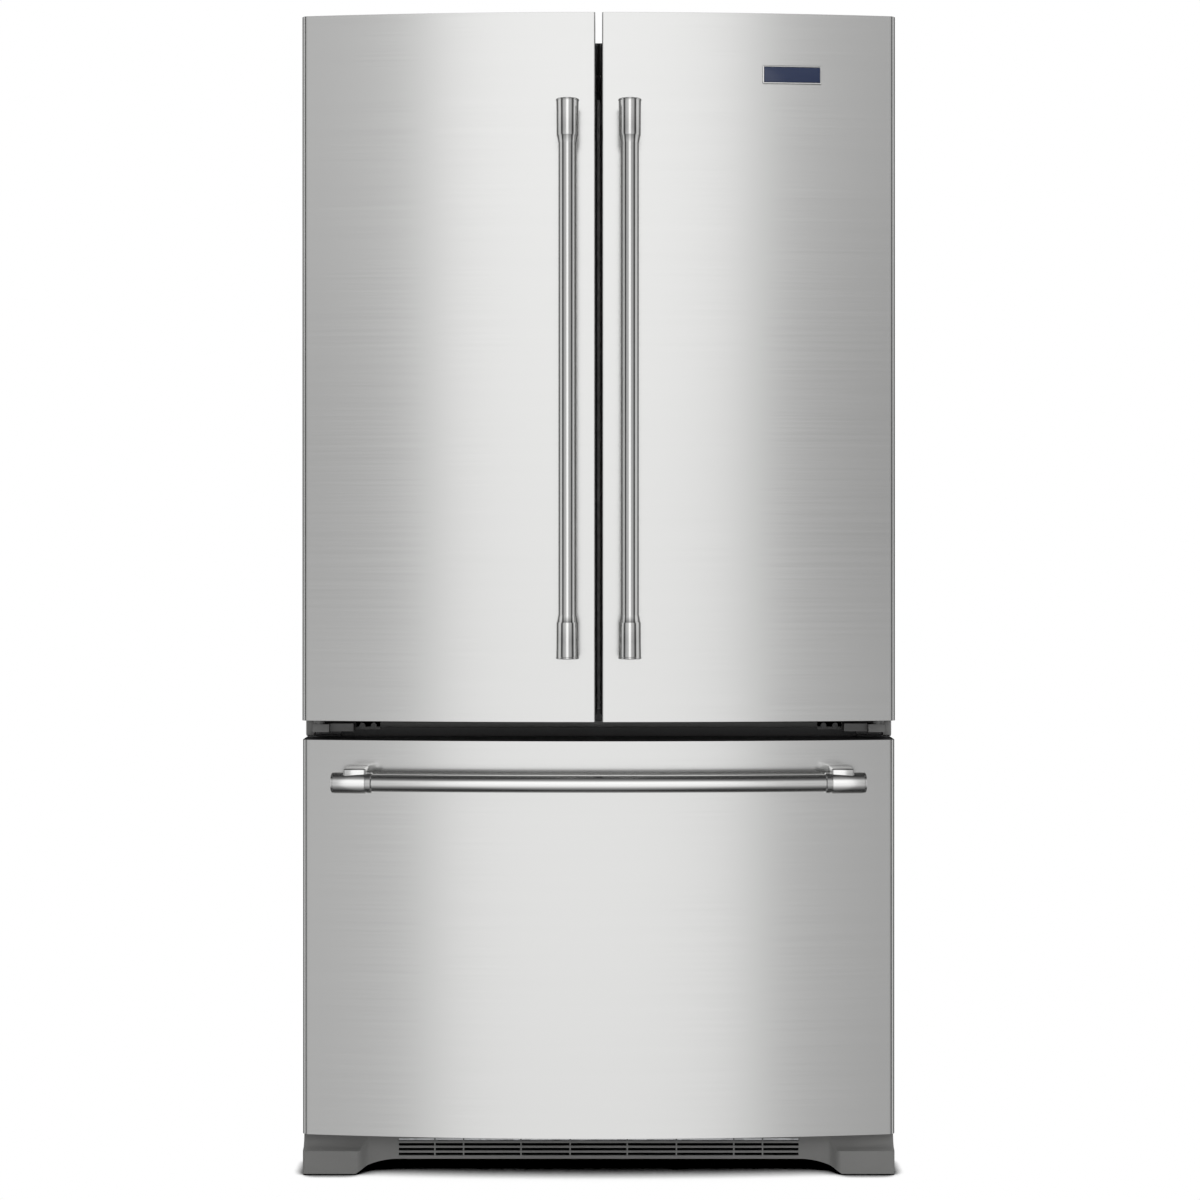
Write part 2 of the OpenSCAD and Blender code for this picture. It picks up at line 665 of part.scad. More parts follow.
// steel base: side rails, cross rails, machine floor, roller forks and foot plates
module base_frame() color("darkslategray") difference() {
    union() {
        both() {
            difference() {
                block([side_rail_x, y_cab + 3, frame_z], [cab_x - shell_t, rear_skin_y - 2, foam_z0]);
                block([side_rail_x - 2, y_cab + 2, frame_z + 2],
                    [cab_x - shell_t - 2, rear_skin_y, foam_z0 - 2]);
            }
            roller_fork(front_wheel_y, front_wheel_z);
            roller_fork(rear_wheel_y, rear_wheel_z);
            block([wheel_x0 - 4, y_cab + 2, foot_plate_z], [side_rail_x + 1, foot_y + 17, foot_plate_z + 6]);
            block([wheel_x0 - 4, y_cab + 2, foot_plate_z], [wheel_x0 - 1, foot_y + 17, foam_z0]);
        }
        block([-cab_x + shell_t, y_cab + shell_t, frame_z], [cab_x - shell_t, y_cab + 3, foam_z0]);
        block([-open_x, y_cab, frame_z], [open_x, y_cab + 3, freezer_z0]);
        block([-side_rail_x - 1, machine_y - 2, 36], [side_rail_x + 1, machine_y, foam_z0]);
        block([-380, machine_y - 1, 36], [380, rear_skin_y - 2, 38]);
    }
    both() rod_z(foot_plate_z - 5, foot_plate_z + 10, foot_x, foot_y, foot_stem_r + running_gap);
}

module levelling_foot() {
    rod_z(0, 6, foot_x, foot_y, 16);
    rod_z(5.9, 8, foot_x, foot_y, 13);
    translate([foot_x, foot_y, 8]) cylinder(r = 9.5, h = 8, $fn = 6);
    rod_z(16, foam_z0 - 4, foot_x, foot_y, foot_stem_r);
}
module left_levelling_foot() color("black") left() levelling_foot();
module right_levelling_foot() color("black") levelling_foot();

module roller(y, z, r) difference() {
    union() {
        rod_x(wheel_x0, wheel_x1, y, z, r - 1.5);
        rod_x(wheel_x0 + 2, wheel_x1 - 2, y, z, r);
    }
    rod_x(wheel_x0 - 1, wheel_x1 + 1, y, z, pin_r + running_gap);
    for (x = [wheel_x0 - 1, wheel_x1 - 4]) difference() {
        rod_x(x, x + 5, y, z, r - 5);
        rod_x(x - 1, x + 6, y, z, pin_r + 4);
    }
}
module front_rollers() color("dimgray") both() roller(front_wheel_y, front_wheel_z, front_wheel_r);
module rear_rollers() color("dimgray") both() roller(rear_wheel_y, rear_wheel_z, rear_wheel_r);

// ---- base grille with its two foot covers ----
grille_y = y_edge + 14;
cover_y = y_edge - 2;
cover_face_z = 36.4;
grille_z0 = 20.5;
grille_z1 = 58;
cover_z0 = 2;
arch_x = 307;
arch_r = 118;
grille_t = 3;

module grille_plan(t) polygon([for (s = [-1, 1]) for (p = s < 0
    ? [[-451, y_cab], [-451, cover_y], [-368, cover_y], [-352, grille_y]]
    : [[352, grille_y], [368, cover_y], [451, cover_y], [451, y_cab]])
    [p.x - sign(p.x) * (abs(p.x) > 400 ? t : -0.6 * t), p.y + t]]);

module grille_slope(t) polygon([
    [y_cab + 1, cover_z0 - 3], [cover_y + t, cover_z0 - 3], [cover_y + t, cover_face_z - 0.4 * t],
    [grille_y + t, grille_z1 - t], [y_cab + 1, grille_z1 - t]]);

module grille_body(t) intersection() {
    translate([0, 0, cover_z0 - t]) linear_extrude(grille_z1 - cover_z0) grille_plan(t);
    along_x(-460, 460) grille_slope(t);
}

grille_ribs = [0, 43.7, 118.9, 206.8, 250.7, arch_x];
rib_half = 1.1;
slot_h = 4.2;
slot_pitch = 7.4;
slot_z0 = 25.5;

module base_grille() color("gray") difference() {
    grille_body(0);
    grille_body(grille_t);
    // arch between the foot covers
    both() rod_y(y_edge - 20, y_cab + 5, arch_x, grille_z0 - arch_r, arch_r);
    block([-arch_x, y_edge - 20, -5], [arch_x, y_cab + 5, grille_z0]);
    for (row = [0 : 3]) for (i = [0 : 4]) both()
        block([grille_ribs[i] + (i == 0 ? -0.5 : rib_half), grille_y - 2, slot_z0 + row * slot_pitch],
            [grille_ribs[i + 1] - rib_half, grille_y + 5, slot_z0 + row * slot_pitch + slot_h]);
}

// ---- hinges ----
arm_z = pocket_z + 3;
arm_t = 4;
arm_x = [-46, 8];
arm_end_r = 10;
cover_x = [-50, 12];
cover_t = 2;

// top hinge: an arm screwed to the cabinet's top, with the pin the door hangs on
module top_hinges() color("silver") both() {
    block([hinge_x + arm_x[0], y_cab + 8, arm_z], [hinge_x + arm_x[1], y_cab + 108, arm_z + arm_t]);
    block([hinge_x - arm_end_r, hinge_y, arm_z], [hinge_x + arm_end_r, y_cab + 9, arm_z + arm_t]);
    rod_z(arm_z, arm_z + arm_t, hinge_x, hinge_y, arm_end_r);
    rod_z(pocket_z - 24, arm_z + 1, hinge_x, hinge_y, pin_r);
    block([hinge_x + arm_x[0], y_cab + 12, cab_h], [hinge_x + arm_x[1], y_cab + 104, arm_z + 1]);
    // screw heads
    for (x = [-36, -4]) for (y = [28, 84]) rod_z(arm_z + 1, arm_z + arm_t + 3, hinge_x + x, y_cab + y, 6);
}

module hinge_covers() color("gray") both() difference() {
    block([hinge_x + cover_x[0], y_cab + 4, cab_h], [hinge_x + cover_x[1], y_cab + 116, overall_h - 1]);
    block([hinge_x + cover_x[0] + cover_t, y_cab + 2, cab_h - 1],
        [hinge_x + cover_x[1] - cover_t, y_cab + 116 - cover_t, overall_h - 1 - cover_t]);
}

hinge_rail_z = drawer_top + 15;
bracket_half = 6;
bracket_x = [-52, 9];
washer_r = 9;

// stretch of the bracket: x from the hinge line, y, over the bracket's full height
module bracket_bar(x, y)
    block([hinge_x + x[0], y[0], hinge_rail_z - bracket_half],
        [hinge_x + x[1], y[1], hinge_rail_z + bracket_half]);

// centre hinge: a folded bracket on the rail, under the door's corner, with an upright pin
module center_hinges() color("gray") both() {
    difference() {
        union() {
            bracket_bar([bracket_x[0], bracket_x[1]], [y_cab - 40, y_cab]);
            bracket_bar([-16, bracket_x[1]], [hinge_y - 10, y_cab - 39]);
            bracket_bar([-90, -50], [y_cab - 4, y_cab]);
            for (dx = [62, 80]) rod_y(y_cab - 6, y_cab - 3, hinge_x - dx, hinge_rail_z, screw_head_r);
        }
        block([hinge_x - 49, y_cab - 37, hinge_rail_z - bracket_half - 1],
            [hinge_x - 18, y_cab - 4, hinge_rail_z + 3]);
    }
    rod_z(hinge_rail_z + bracket_half, door_z + cap_h + 4, hinge_x, hinge_y, pin_r);
    rod_z(hinge_rail_z + bracket_half, door_z + 0.5, hinge_x, hinge_y, washer_r);
}

// ---- fridge compartment ----
inner_x = open_x - liner_t;
back_y = liner_back - liner_t;
ceiling_z = fridge_z1 - liner_t;
floor_z = fridge_z0 + liner_t;

duct_x = 95;
duct_z0 = 1000;
duct_z1 = ceiling_z - 40;
duct_wall = 3;
wing_x = 130;
wing_t = 12;

module air_duct_cover() color("white") difference() {
    union() {
        block([-duct_x, back_y - duct_t, duct_z0], [duct_x, back_y, duct_z1]);
        both() block([duct_x, back_y - wing_t, duct_z0], [wing_x, back_y, duct_z1]);
    }
    block([-duct_x + duct_wall, back_y - duct_t + duct_wall, duct_z0 + duct_wall],
        [duct_x - duct_wall, back_y - 2, duct_z1 - duct_wall]);
    for (z = [1100 : 130 : 1620]) for (dz = [0, 12, 24])
        both() block([30, back_y - duct_t - 2, z + dz], [80, back_y - duct_t + 4, z + dz + 6]);
}

panel_y = y_cab + 112;
button_x = 60;
button_r = 9;
button_z = ceiling_z - 22;
panel_half = 170;
panel_h = 42;
lamp_half = 110;

module control_panel() color("whitesmoke") {
    difference() {
        union() {
            block([-panel_half, panel_y, ceiling_z - panel_h], [panel_half, panel_y + 40, ceiling_z]);
            block([-150, panel_y + 40, ceiling_z - 26], [150, panel_y + 180, ceiling_z]);
        }
        rod_y(panel_y - 1, panel_y + 9, button_x, button_z, button_r + 0.3);
        block([-120, panel_y - 1, ceiling_z - 34], [20, panel_y + 1.5, ceiling_z - 10]);
        block([-lamp_half, panel_y + 60, ceiling_z - 27], [lamp_half, panel_y + 160, ceiling_z - 22]);
    }
    // lamp lens and display window
    block([-lamp_half + 1, panel_y + 61, ceiling_z - 27], [lamp_half - 1, panel_y + 159, ceiling_z - 22]);
    block([-119, panel_y, ceiling_z - 33], [19, panel_y + 1.5, ceiling_z - 11]);
    // striker block that turns the flipper mullion
    block([-62, y_cab + 12, ceiling_z - 7], [-40, y_cab + 50, ceiling_z]);
}

module temperature_button() color("silver") rod_y(panel_y - 3, panel_y + 5, button_x, button_z, button_r);

shelf_y0 = y_cab + 117;
duct_t = 24;
track_t = 6;
arm_end = back_y - duct_t - track_t;
shelf_y1 = arm_end - 10;
shelf_x0 = 8;
shelf_x1 = inner_x - 9;
left_levels = [1165, 1390];
right_levels = [1235, 1470];
glass_t = 4;
crisper_y = y_cab + 152;
crisper_top = 972;
deck_z = 846;

module each_shelf() {
    for (z = right_levels) translate([0, 0, z]) children();
    for (z = left_levels) mirror([1, 0, 0]) translate([0, 0, z]) children();
}

module glass_shelves() color("powderblue") {
    each_shelf() block([shelf_x0 + 6, shelf_y0 + 6, 3], [shelf_x1 - 6, shelf_y1 - 6, 3 + glass_t]);
    block([-inner_x + 16, shelf_y0 + 6, crisper_top + 9],
        [inner_x - 16, shelf_y1 - 6, crisper_top + 9 + glass_t]);
}

// one half-width shelf: a spill-proof rim on two steel cantilever arms
module shelf_frame() {
    difference() {
        block([shelf_x0, shelf_y0, 0], [shelf_x1, shelf_y1, 12]);
        block([shelf_x0 + 14, shelf_y0 + 14, -1], [shelf_x1 - 14, shelf_y1 - 14, 14]);
        block([shelf_x0 + 5.9, shelf_y0 + 5.9, 2.9], [shelf_x1 - 5.9, shelf_y1 - 5.9, 7.1]);
        block([shelf_x0 + 8, shelf_y0 + 8, 7], [shelf_x1 - 8, shelf_y1 - 8, 13]);
    }
    for (arm = [[shelf_x0 + 2, arm_end], [shelf_x1 - 5, back_y - track_t]])
        along_x(arm[0], arm[0] + 3) polygon([[shelf_y0 + 60, 1], [shelf_y0 + 60, -8],
            [shelf_y1 - 60, -34], [arm[1], -40], [arm[1], 1]]);
}

module shelf_frames() color("lightgray") {
    each_shelf() shelf_frame();
    // slotted tracks on the back wall
    for (track = [[shelf_x0 + 3.5, arm_end], [shelf_x1 - 3.5, back_y - track_t]]) both() difference() {
        block([track[0] - 7, track[1], 1030], [track[0] + 7, track[1] + track_t, 1560]);
        for (z = [1050 : 45 : 1540])
            block([track[0] + 3, track[1] - 1, z], [track[0] + 5, track[1] + 4, z + 22]);
    }
    // crisper cover and centre divider
    difference() {
        block([-inner_x + 1, shelf_y0, crisper_top + 4], [inner_x - 1, shelf_y1, crisper_top + 18]);
        block([-inner_x + 24, shelf_y0 + 14, crisper_top], [inner_x - 24, shelf_y1 - 14, crisper_top + 20]);
        block([-inner_x + 15.9, shelf_y0 + 5.9, crisper_top + 8.9],
            [inner_x - 15.9, shelf_y1 - 5.9, crisper_top + 13.1]);
        block([-inner_x + 18, shelf_y0 + 8, crisper_top + 13],
            [inner_x - 18, shelf_y1 - 8, crisper_top + 20]);
    }
    block([-5, crisper_y + 4, deck_z + 4], [5, shelf_y1, crisper_top + 4]);
    // deck between the crispers and the deli drawer
    block([-inner_x + 1, crisper_y + 4, deck_z], [inner_x - 1, shelf_y1, deck_z + 4]);
}

grip_in = 20;
grip_d = 9;

// clear drawer with a moulded front and grip
module produce_drawer(x0, x1, z0, z1) {
    difference() {
        bin([x0, crisper_y, z0], [x1, shelf_y1 - 6, z1], 3);
        block([x0 + grip_in, crisper_y - 1, z1 - 34], [x1 - grip_in, crisper_y + 1, z1 - 14]);
    }
    block([x0 + grip_in, crisper_y - grip_d, z1 - 12], [x1 - grip_in, crisper_y, z1 - 8]);
    block([x0 + grip_in, crisper_y - grip_d, z1 - 26], [x1 - grip_in, crisper_y - 6, z1 - 12]);
}

module right_crisper() color("azure") produce_drawer(8, inner_x - 8, deck_z + 5, crisper_top);
module left_crisper() color("azure") left() produce_drawer(8, inner_x - 8, deck_z + 5, crisper_top);
module deli_drawer() color("azure") produce_drawer(-inner_x + 8, inner_x - 8, floor_z + 1, deck_z - 3);

// ---- freezer compartment ----
fan_z = 590;
fan_y = 346;
shaft_r = 2.5;
cover_panel_y = 322;

// axial fan with pitched blades, turning about Z at the origin, with a blind bore in its underside
module fan(r, hub, h, n) difference() {
    union() {
        cylinder(r = hub, h = h);
        for (i = [0 : n - 1]) rotate([0, 0, i * 360 / n])
            translate([hub - 3, 0, h / 2]) rotate([32, 0, 0]) translate([0, -hub * 0.8, -0.75])
                cube([r - hub, hub * 1.6, 1.5]);
    }
    translate([0, 0, -1]) cylinder(r = shaft_r + running_gap, h = h - 3);
}

module evaporator_cover() color("whitesmoke") difference() {
    block([-inner_x + 6, cover_panel_y, step_z + 6],
        [inner_x - 6, cover_panel_y + 3, freezer_z1 - liner_t - 4]);
    for (i = [-4 : 4]) block([-60, cover_panel_y - 1, fan_z + i * 12 - 3],
        [60, cover_panel_y + 4, fan_z + i * 12 + 3]);
    for (i = [-8 : 8]) block([i * 36 - 12, cover_panel_y - 1, step_z + 14],
        [i * 36 + 12, cover_panel_y + 4, step_z + 26]);
}

fin_pitch = 22;
fin_half = 0.5;
coil_y = [338, 386];
coil_z = [335, 505];
coil_r = 4;
tube_y = [348, 374];
tube_z0 = 355;
tube_pitch = 42;
heater_z = 322;
evap_motor_r = 26;

// finned evaporator, defrost heater and the motor of its fan
module evaporator_assembly() color("silver") {
    for (i = [-12 : 12]) translate([i * fin_pitch, 0, 0])
        block([-fin_half, coil_y[0], coil_z[0]], [fin_half, coil_y[1], coil_z[1]]);
    for (j = [0 : 3]) for (y = tube_y) for (i = [-12 : 11])
        rod_x(i * fin_pitch + fin_half, (i + 1) * fin_pitch - fin_half, y, tube_z0 + j * tube_pitch, coil_r);
    rod_x(-12 * fin_pitch, 12 * fin_pitch, 361, heater_z, coil_r);
    for (x = [-262, 260]) block([x, 355, heater_z], [x + 2, 367, coil_z[0] + 5]);
    rod_y(fan_y + 18, coil_y[1], 0, fan_z, evap_motor_r);
    rod_y(fan_y + 5, fan_y + 18, 0, fan_z, shaft_r);
    block([-60, coil_y[1] - 1, coil_z[1] - 5], [60, coil_y[1] + 2, fan_z + 50]);
}

module evaporator_fan() color("black") translate([0, fan_y + 14, fan_z]) rotate([90, 0, 0])
    fan(46, 16, 14, 5);

ice_x0 = -inner_x + 20;
ice_x1 = ice_x0 + 110;
ice_y0 = 60;
ice_y1 = 300;
ice_z = 560;
ice_h = 62;
cube_pitch = 29;
cube_w = 25;
arm_pivot_y = 56;
arm_pivot_z = ice_z + 30;
arm_r = 2;
arm_reach = 168;
arm_drop = 70;

module ice_maker() color("whitesmoke") {
    difference() {
        block([ice_x0, ice_y0, ice_z], [ice_x1, ice_y1, ice_z + ice_h]);
        for (i = [0 : 5]) translate([0, ice_y0 + 52 + i * cube_pitch, 0])
            block([ice_x0 + 20, 0, ice_z + 22], [ice_x1 - 12, cube_w, ice_z + ice_h + 1]);
    }
    // end housing over the gears, and the bracket to the ceiling
    block([ice_x0, ice_y0 - 30, ice_z - 6], [ice_x1, ice_y0, ice_z + 70]);
    block([ice_x0, ice_y0, ice_z + ice_h], [ice_x0 + 12, ice_y1, freezer_z1 - liner_t]);
    rod_x(ice_x1, ice_x1 + 14, arm_pivot_y, arm_pivot_z, 3);
}

// wire arm that feels how full the ice tray is
module ice_maker_arm() color("silver") {
    difference() {
        rod_x(ice_x1 + 1, ice_x1 + 9, arm_pivot_y, arm_pivot_z, 7);
        rod_x(ice_x1, ice_x1 + 10, arm_pivot_y, arm_pivot_z, 3 + running_gap);
    }
    rod_y(arm_pivot_y + 5.5, arm_pivot_y + arm_reach + arm_r, ice_x1 + 5, arm_pivot_z, arm_r);
    rod_z(arm_pivot_z - arm_drop, arm_pivot_z, ice_x1 + 5, arm_pivot_y + arm_reach, arm_r);
    rod_x(ice_x1 - 60, ice_x1 + 5, arm_pivot_y + arm_reach, arm_pivot_z - arm_drop, arm_r);
}

// ---- machine compartment ----
comp_x = 215;
comp_y = 330;
cond_z = 146;
shroud_x = -118;
cord_x = -330;
cord_z = 235;
cord_hole_r = 7;
mount_x = 92;
mount_y = 46;
cond_fin_x = -360;
cond_fin_pitch = 15;
cond_y = [245, 420];
cond_fin_z = [66, 226];
wire_r = 2.5;
shroud_y = [232, 436];
shroud_z = [44, 240];
pan_y = [238, 428];
pan_z = [38, 58];
drier_x = 60;
drier_r = 11;
pipe_r = 3;

// sealed compressor on rubber mounts, with its start relay
module compressor() color("dimgray") {
    translate([comp_x, comp_y, 48]) rotate_extrude() polygon([[0, 0], [66, 0], [76, 16], [76, 64], [80, 66],
        [80, 72], [76, 74], [74, 122], [60, 148], [30, 158], [0, 160]]);
    block([comp_x - 105, comp_y - 60, 46], [comp_x + 105, comp_y + 60, 50]);
    for (x = [-mount_x, mount_x]) for (y = [-mount_y, mount_y]) rod_z(38, 47, comp_x + x, comp_y + y, 11);
    block([comp_x + 50, comp_y - 30, 92], [comp_x + 104, comp_y + 30, 150]);
}

// wire-finned condenser, drain pan, fan shroud with motor, drier and tubes
module condenser_assembly() color("black") {
    for (i = [0 : 12]) translate([cond_fin_x + i * cond_fin_pitch, 0, 0])
        block([0, cond_y[0], cond_fin_z[0]], [1, cond_y[1], cond_fin_z[1]]);
    for (j = [0 : 4]) for (y = [262 : 40 : 382]) rod_x(cond_fin_x + 1, -180, y, 82 + j * 32, wire_r);
    for (y = [262, 382]) for (z = [82, 210]) rod_x(-181, shroud_x, y, z, wire_r);
    bin([cond_fin_x - 6, pan_y[0], pan_z[0]], [shroud_x + 2, pan_y[1], pan_z[1]], 2.5);
    difference() {
        block([shroud_x, shroud_y[0], shroud_z[0]], [shroud_x + 4, shroud_y[1], shroud_z[1]]);
        rod_x(shroud_x - 2, shroud_x + 6, comp_y, cond_z, 76);
    }
    for (a = [0 : 60 : 120]) translate([shroud_x, comp_y, cond_z]) rotate([a, 0, 0]) block([-4, -88, -4],
        [1, 88, 4]);
    rod_x(shroud_x - 3, shroud_x + 20, comp_y, cond_z, shaft_r);
    rod_x(shroud_x - 32, shroud_x - 3, comp_y, cond_z, 26);
    // filter drier on the line from the condenser to the compressor
    rod_x(shroud_x + 2, drier_x, 248, 120, pipe_r);
    rod_y(240, 340, drier_x, 120, drier_r);
    rod_x(drier_x, comp_x - 80.5, 336, 120, pipe_r);
}

module condenser_fan() color("gray") translate([shroud_x + 9, comp_y, cond_z]) rotate([0, 90, 0])
    fan(70, 20, 16, 5);

// ---- drawing ----
cabinet_shell();
insulation_foam();
fridge_liner();
freezer_liner();
center_rail();
rear_panel();
machine_cover();
base_frame();
base_grille();
compressor();
condenser_assembly();
water_valve();
top_hinges();
hinge_covers();
center_hinges();
air_duct_cover();
control_panel();
glass_shelves();
shelf_frames();
evaporator_assembly();
evaporator_cover();
ice_maker();
slide_outer_rails();
left_door_skin();
left_door_core();
left_door_liner();
left_door_gasket();
left_door_caps();
left_handle();
left_door_bins();
flipper_mullion();
right_door_skin();
right_door_core();
right_door_liner();
right_door_gasket();
right_door_caps();
right_handle();
right_door_bins();
badge();
dairy_lid();
drawer_skin();
drawer_core();
drawer_liner();
drawer_gasket();
drawer_handle();
freezer_basket();
slide_inner_rails();
slide_middle_rails();
freezer_tray();
left_crisper();
right_crisper();
deli_drawer();
ice_maker_arm();
condenser_fan();
evaporator_fan();
front_rollers();
rear_rollers();
left_levelling_foot();
right_levelling_foot();
temperature_button();
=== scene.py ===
"""French door refrigerator: the looks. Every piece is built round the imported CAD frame, in metres."""

import json
from math import asin, cos, pi, radians, sin, sqrt

import bmesh
import bpy
from mathutils import Matrix, Vector

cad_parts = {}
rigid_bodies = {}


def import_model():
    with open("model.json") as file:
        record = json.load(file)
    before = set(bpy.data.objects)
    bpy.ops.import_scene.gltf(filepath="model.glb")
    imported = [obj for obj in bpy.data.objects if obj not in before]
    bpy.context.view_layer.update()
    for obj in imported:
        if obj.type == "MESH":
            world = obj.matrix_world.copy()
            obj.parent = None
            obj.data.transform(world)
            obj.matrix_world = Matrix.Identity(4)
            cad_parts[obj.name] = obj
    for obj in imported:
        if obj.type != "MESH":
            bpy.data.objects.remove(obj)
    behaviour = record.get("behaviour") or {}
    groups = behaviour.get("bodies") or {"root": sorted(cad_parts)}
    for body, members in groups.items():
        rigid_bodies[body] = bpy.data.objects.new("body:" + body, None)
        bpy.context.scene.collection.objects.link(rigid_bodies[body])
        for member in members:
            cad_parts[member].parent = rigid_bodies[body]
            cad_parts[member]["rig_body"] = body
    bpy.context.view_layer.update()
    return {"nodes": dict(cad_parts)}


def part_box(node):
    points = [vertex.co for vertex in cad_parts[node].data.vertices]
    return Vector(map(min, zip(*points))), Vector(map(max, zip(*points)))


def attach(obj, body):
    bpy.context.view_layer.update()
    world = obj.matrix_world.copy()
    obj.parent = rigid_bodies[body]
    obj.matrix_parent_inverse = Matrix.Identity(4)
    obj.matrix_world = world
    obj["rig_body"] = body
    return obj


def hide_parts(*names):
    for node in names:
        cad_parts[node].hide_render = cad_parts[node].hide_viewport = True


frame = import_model()
MM = 0.001

# ---------------------------------------------------------------- camera
EYE_DISTANCE = 3.3  # metres from the plane of the doors' outer edges
EYE_HEIGHT = 0.967
SENSOR = 36.0
PICTURE_WIDTH = 1.8284  # metres across the picture, in that plane
PICTURE_MIDDLE = 0.8758  # height of the picture's middle, in that plane
EYE_ASIDE = 2 * MM
EDGE_DEPTH = 70 * MM  # depth of the drawer's front at its outer edges


def make_camera():
    edge_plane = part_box("drawer_skin")[1].y - EDGE_DEPTH
    data = bpy.data.cameras.new("camera")
    data.sensor_width = SENSOR
    data.lens = SENSOR * EYE_DISTANCE / PICTURE_WIDTH
    data.shift_y = (PICTURE_MIDDLE - EYE_HEIGHT) / PICTURE_WIDTH
    data.clip_end = 100
    camera = bpy.data.objects.new("camera", data)
    bpy.context.scene.collection.objects.link(camera)
    camera.location = (EYE_ASIDE, edge_plane - EYE_DISTANCE, EYE_HEIGHT)
    camera.rotation_euler = (pi / 2, 0, 0)
    bpy.context.scene.camera = camera


# ---------------------------------------------------------------- materials
class Nodes:
    """A material's node tree, with short calls for the nodes used here."""

    def __init__(self, name):
        self.material = bpy.data.materials.new(name)
        self.material.use_nodes = True
        self.tree = self.material.node_tree
        self.shader = self.tree.nodes["Principled BSDF"]

    def add(self, kind, **settings):
        node = self.tree.nodes.new(kind)
        for key, value in settings.items():
            setattr(node, key, value)
        return node

    def link(self, a, b):
        self.tree.links.new(a, b)

    def set(self, **values):
        for key, value in values.items():
            self.shader.inputs[key.replace("_", " ")].default_value = value

    def place(self, scale=(1, 1, 1)):
        """Object coordinates in metres, stretched by scale."""
        coords = self.add("ShaderNodeTexCoord")
        mapping = self.add("ShaderNodeMapping")
        mapping.inputs["Scale"].default_value = scale
        self.link(coords.outputs["Object"], mapping.inputs["Vector"])
        return mapping.outputs["Vector"]

    def noise(self, scale, detail=3.0, stretch=(1, 1, 1), roughness=0.5):
        node = self.add("ShaderNodeTexNoise")
        node.inputs["Scale"].default_value = scale
        node.inputs["Detail"].default_value = detail
        node.inputs["Roughness"].default_value = roughness
        self.link(self.place(stretch), node.inputs["Vector"])
        return node.outputs["Fac"]

    def cells(self, scale, stretch=(1, 1, 1)):
        node = self.add("ShaderNodeTexVoronoi")
        node.inputs["Scale"].default_value = scale
        self.link(self.place(stretch), node.inputs["Vector"])
        return node.outputs

    def ramp(self, value, low, high, start=0.3, end=0.7):
        """value, from start to end, turned into a colour or grey from low to high."""
        node = self.add("ShaderNodeValToRGB")
        first, last = node.color_ramp.elements
        first.position, last.position = start, end
        first.color, last.color = rgba(low), rgba(high)
        self.link(value, node.inputs["Fac"])
        return node.outputs["Color"]

    def bump(self, height, distance, strength=1.0, under=None):
        node = self.add("ShaderNodeBump")
        node.inputs["Strength"].default_value = strength
        node.inputs["Distance"].default_value = distance
        self.link(height, node.inputs["Height"])
        if under:
            self.link(under, node.inputs["Normal"])
        return node.outputs["Normal"]

    def finish(self, colour=None, roughness=None, normal=None):
        if colour:
            self.link(colour, self.shader.inputs["Base Color"])
        if roughness:
            self.link(roughness, self.shader.inputs["Roughness"])
        if normal:
            self.link(normal, self.shader.inputs["Normal"])
        return self.material


def rgba(value):
    """A grey or an RGB colour as an RGBA tuple."""
    if isinstance(value, (int, float)):
        value = (value, value, value)
    return (*value, 1.0)


def shade(colour, factor):
    return tuple(min(1.0, c * factor) for c in colour)


def brushed(name, colour, roughness, stretch, spread=0.03, grain=0.00002):
    """Brushed steel: fine streaks, long where stretch is small."""
    n = Nodes(name)
    n.set(Metallic=1.0)
    fine = n.noise(1.0, 2.0, stretch)
    broad = n.noise(1.0, 2.0, tuple(s / 12 for s in stretch))
    mixed = n.add("ShaderNodeMath", operation="MULTIPLY_ADD")
    n.link(fine, mixed.inputs[0])
    mixed.inputs[1].default_value = 0.6
    scaled = n.add("ShaderNodeMath", operation="MULTIPLY")
    n.link(broad, scaled.inputs[0])
    scaled.inputs[1].default_value = 0.4
    n.link(scaled.outputs[0], mixed.inputs[2])
    streaks = mixed.outputs[0]
    return n.finish(
        n.ramp(streaks, shade(colour, 1 - spread), shade(colour, 1 + spread), 0.35, 0.65),
        n.ramp(streaks, roughness * 0.82, roughness * 1.18, 0.35, 0.65),
        n.bump(fine, grain),
    )


def plastic(name, colour, roughness, grain=0.00003, scale=1400, spread=0.06, coat=0.0):
    """Moulded plastic: a fine spark-eroded grain and slightly uneven colour."""
    n = Nodes(name)
    n.set(Coat_Weight=coat)
    patches = n.noise(9.0, 3.0)
    fine = n.noise(scale, 2.0)
    return n.finish(
        n.ramp(patches, shade(colour, 1 - spread), shade(colour, 1 + spread)),
        n.ramp(fine, roughness * 0.85, min(1.0, roughness * 1.15)),
        n.bump(fine, grain, 0.6),
    )


def paint(name, colour, roughness, peel=0.00004):
    """Sprayed and baked enamel with a slight orange peel."""
    n = Nodes(name)
    n.set(Coat_Weight=0.25, Coat_Roughness=0.2)
    peel_noise = n.noise(320.0, 2.0)
    broad = n.noise(4.0, 2.0)
    return n.finish(
        n.ramp(broad, shade(colour, 0.96), shade(colour, 1.04)),
        n.ramp(peel_noise, roughness * 0.9, roughness * 1.1),
        n.bump(peel_noise, peel, 0.5),
    )


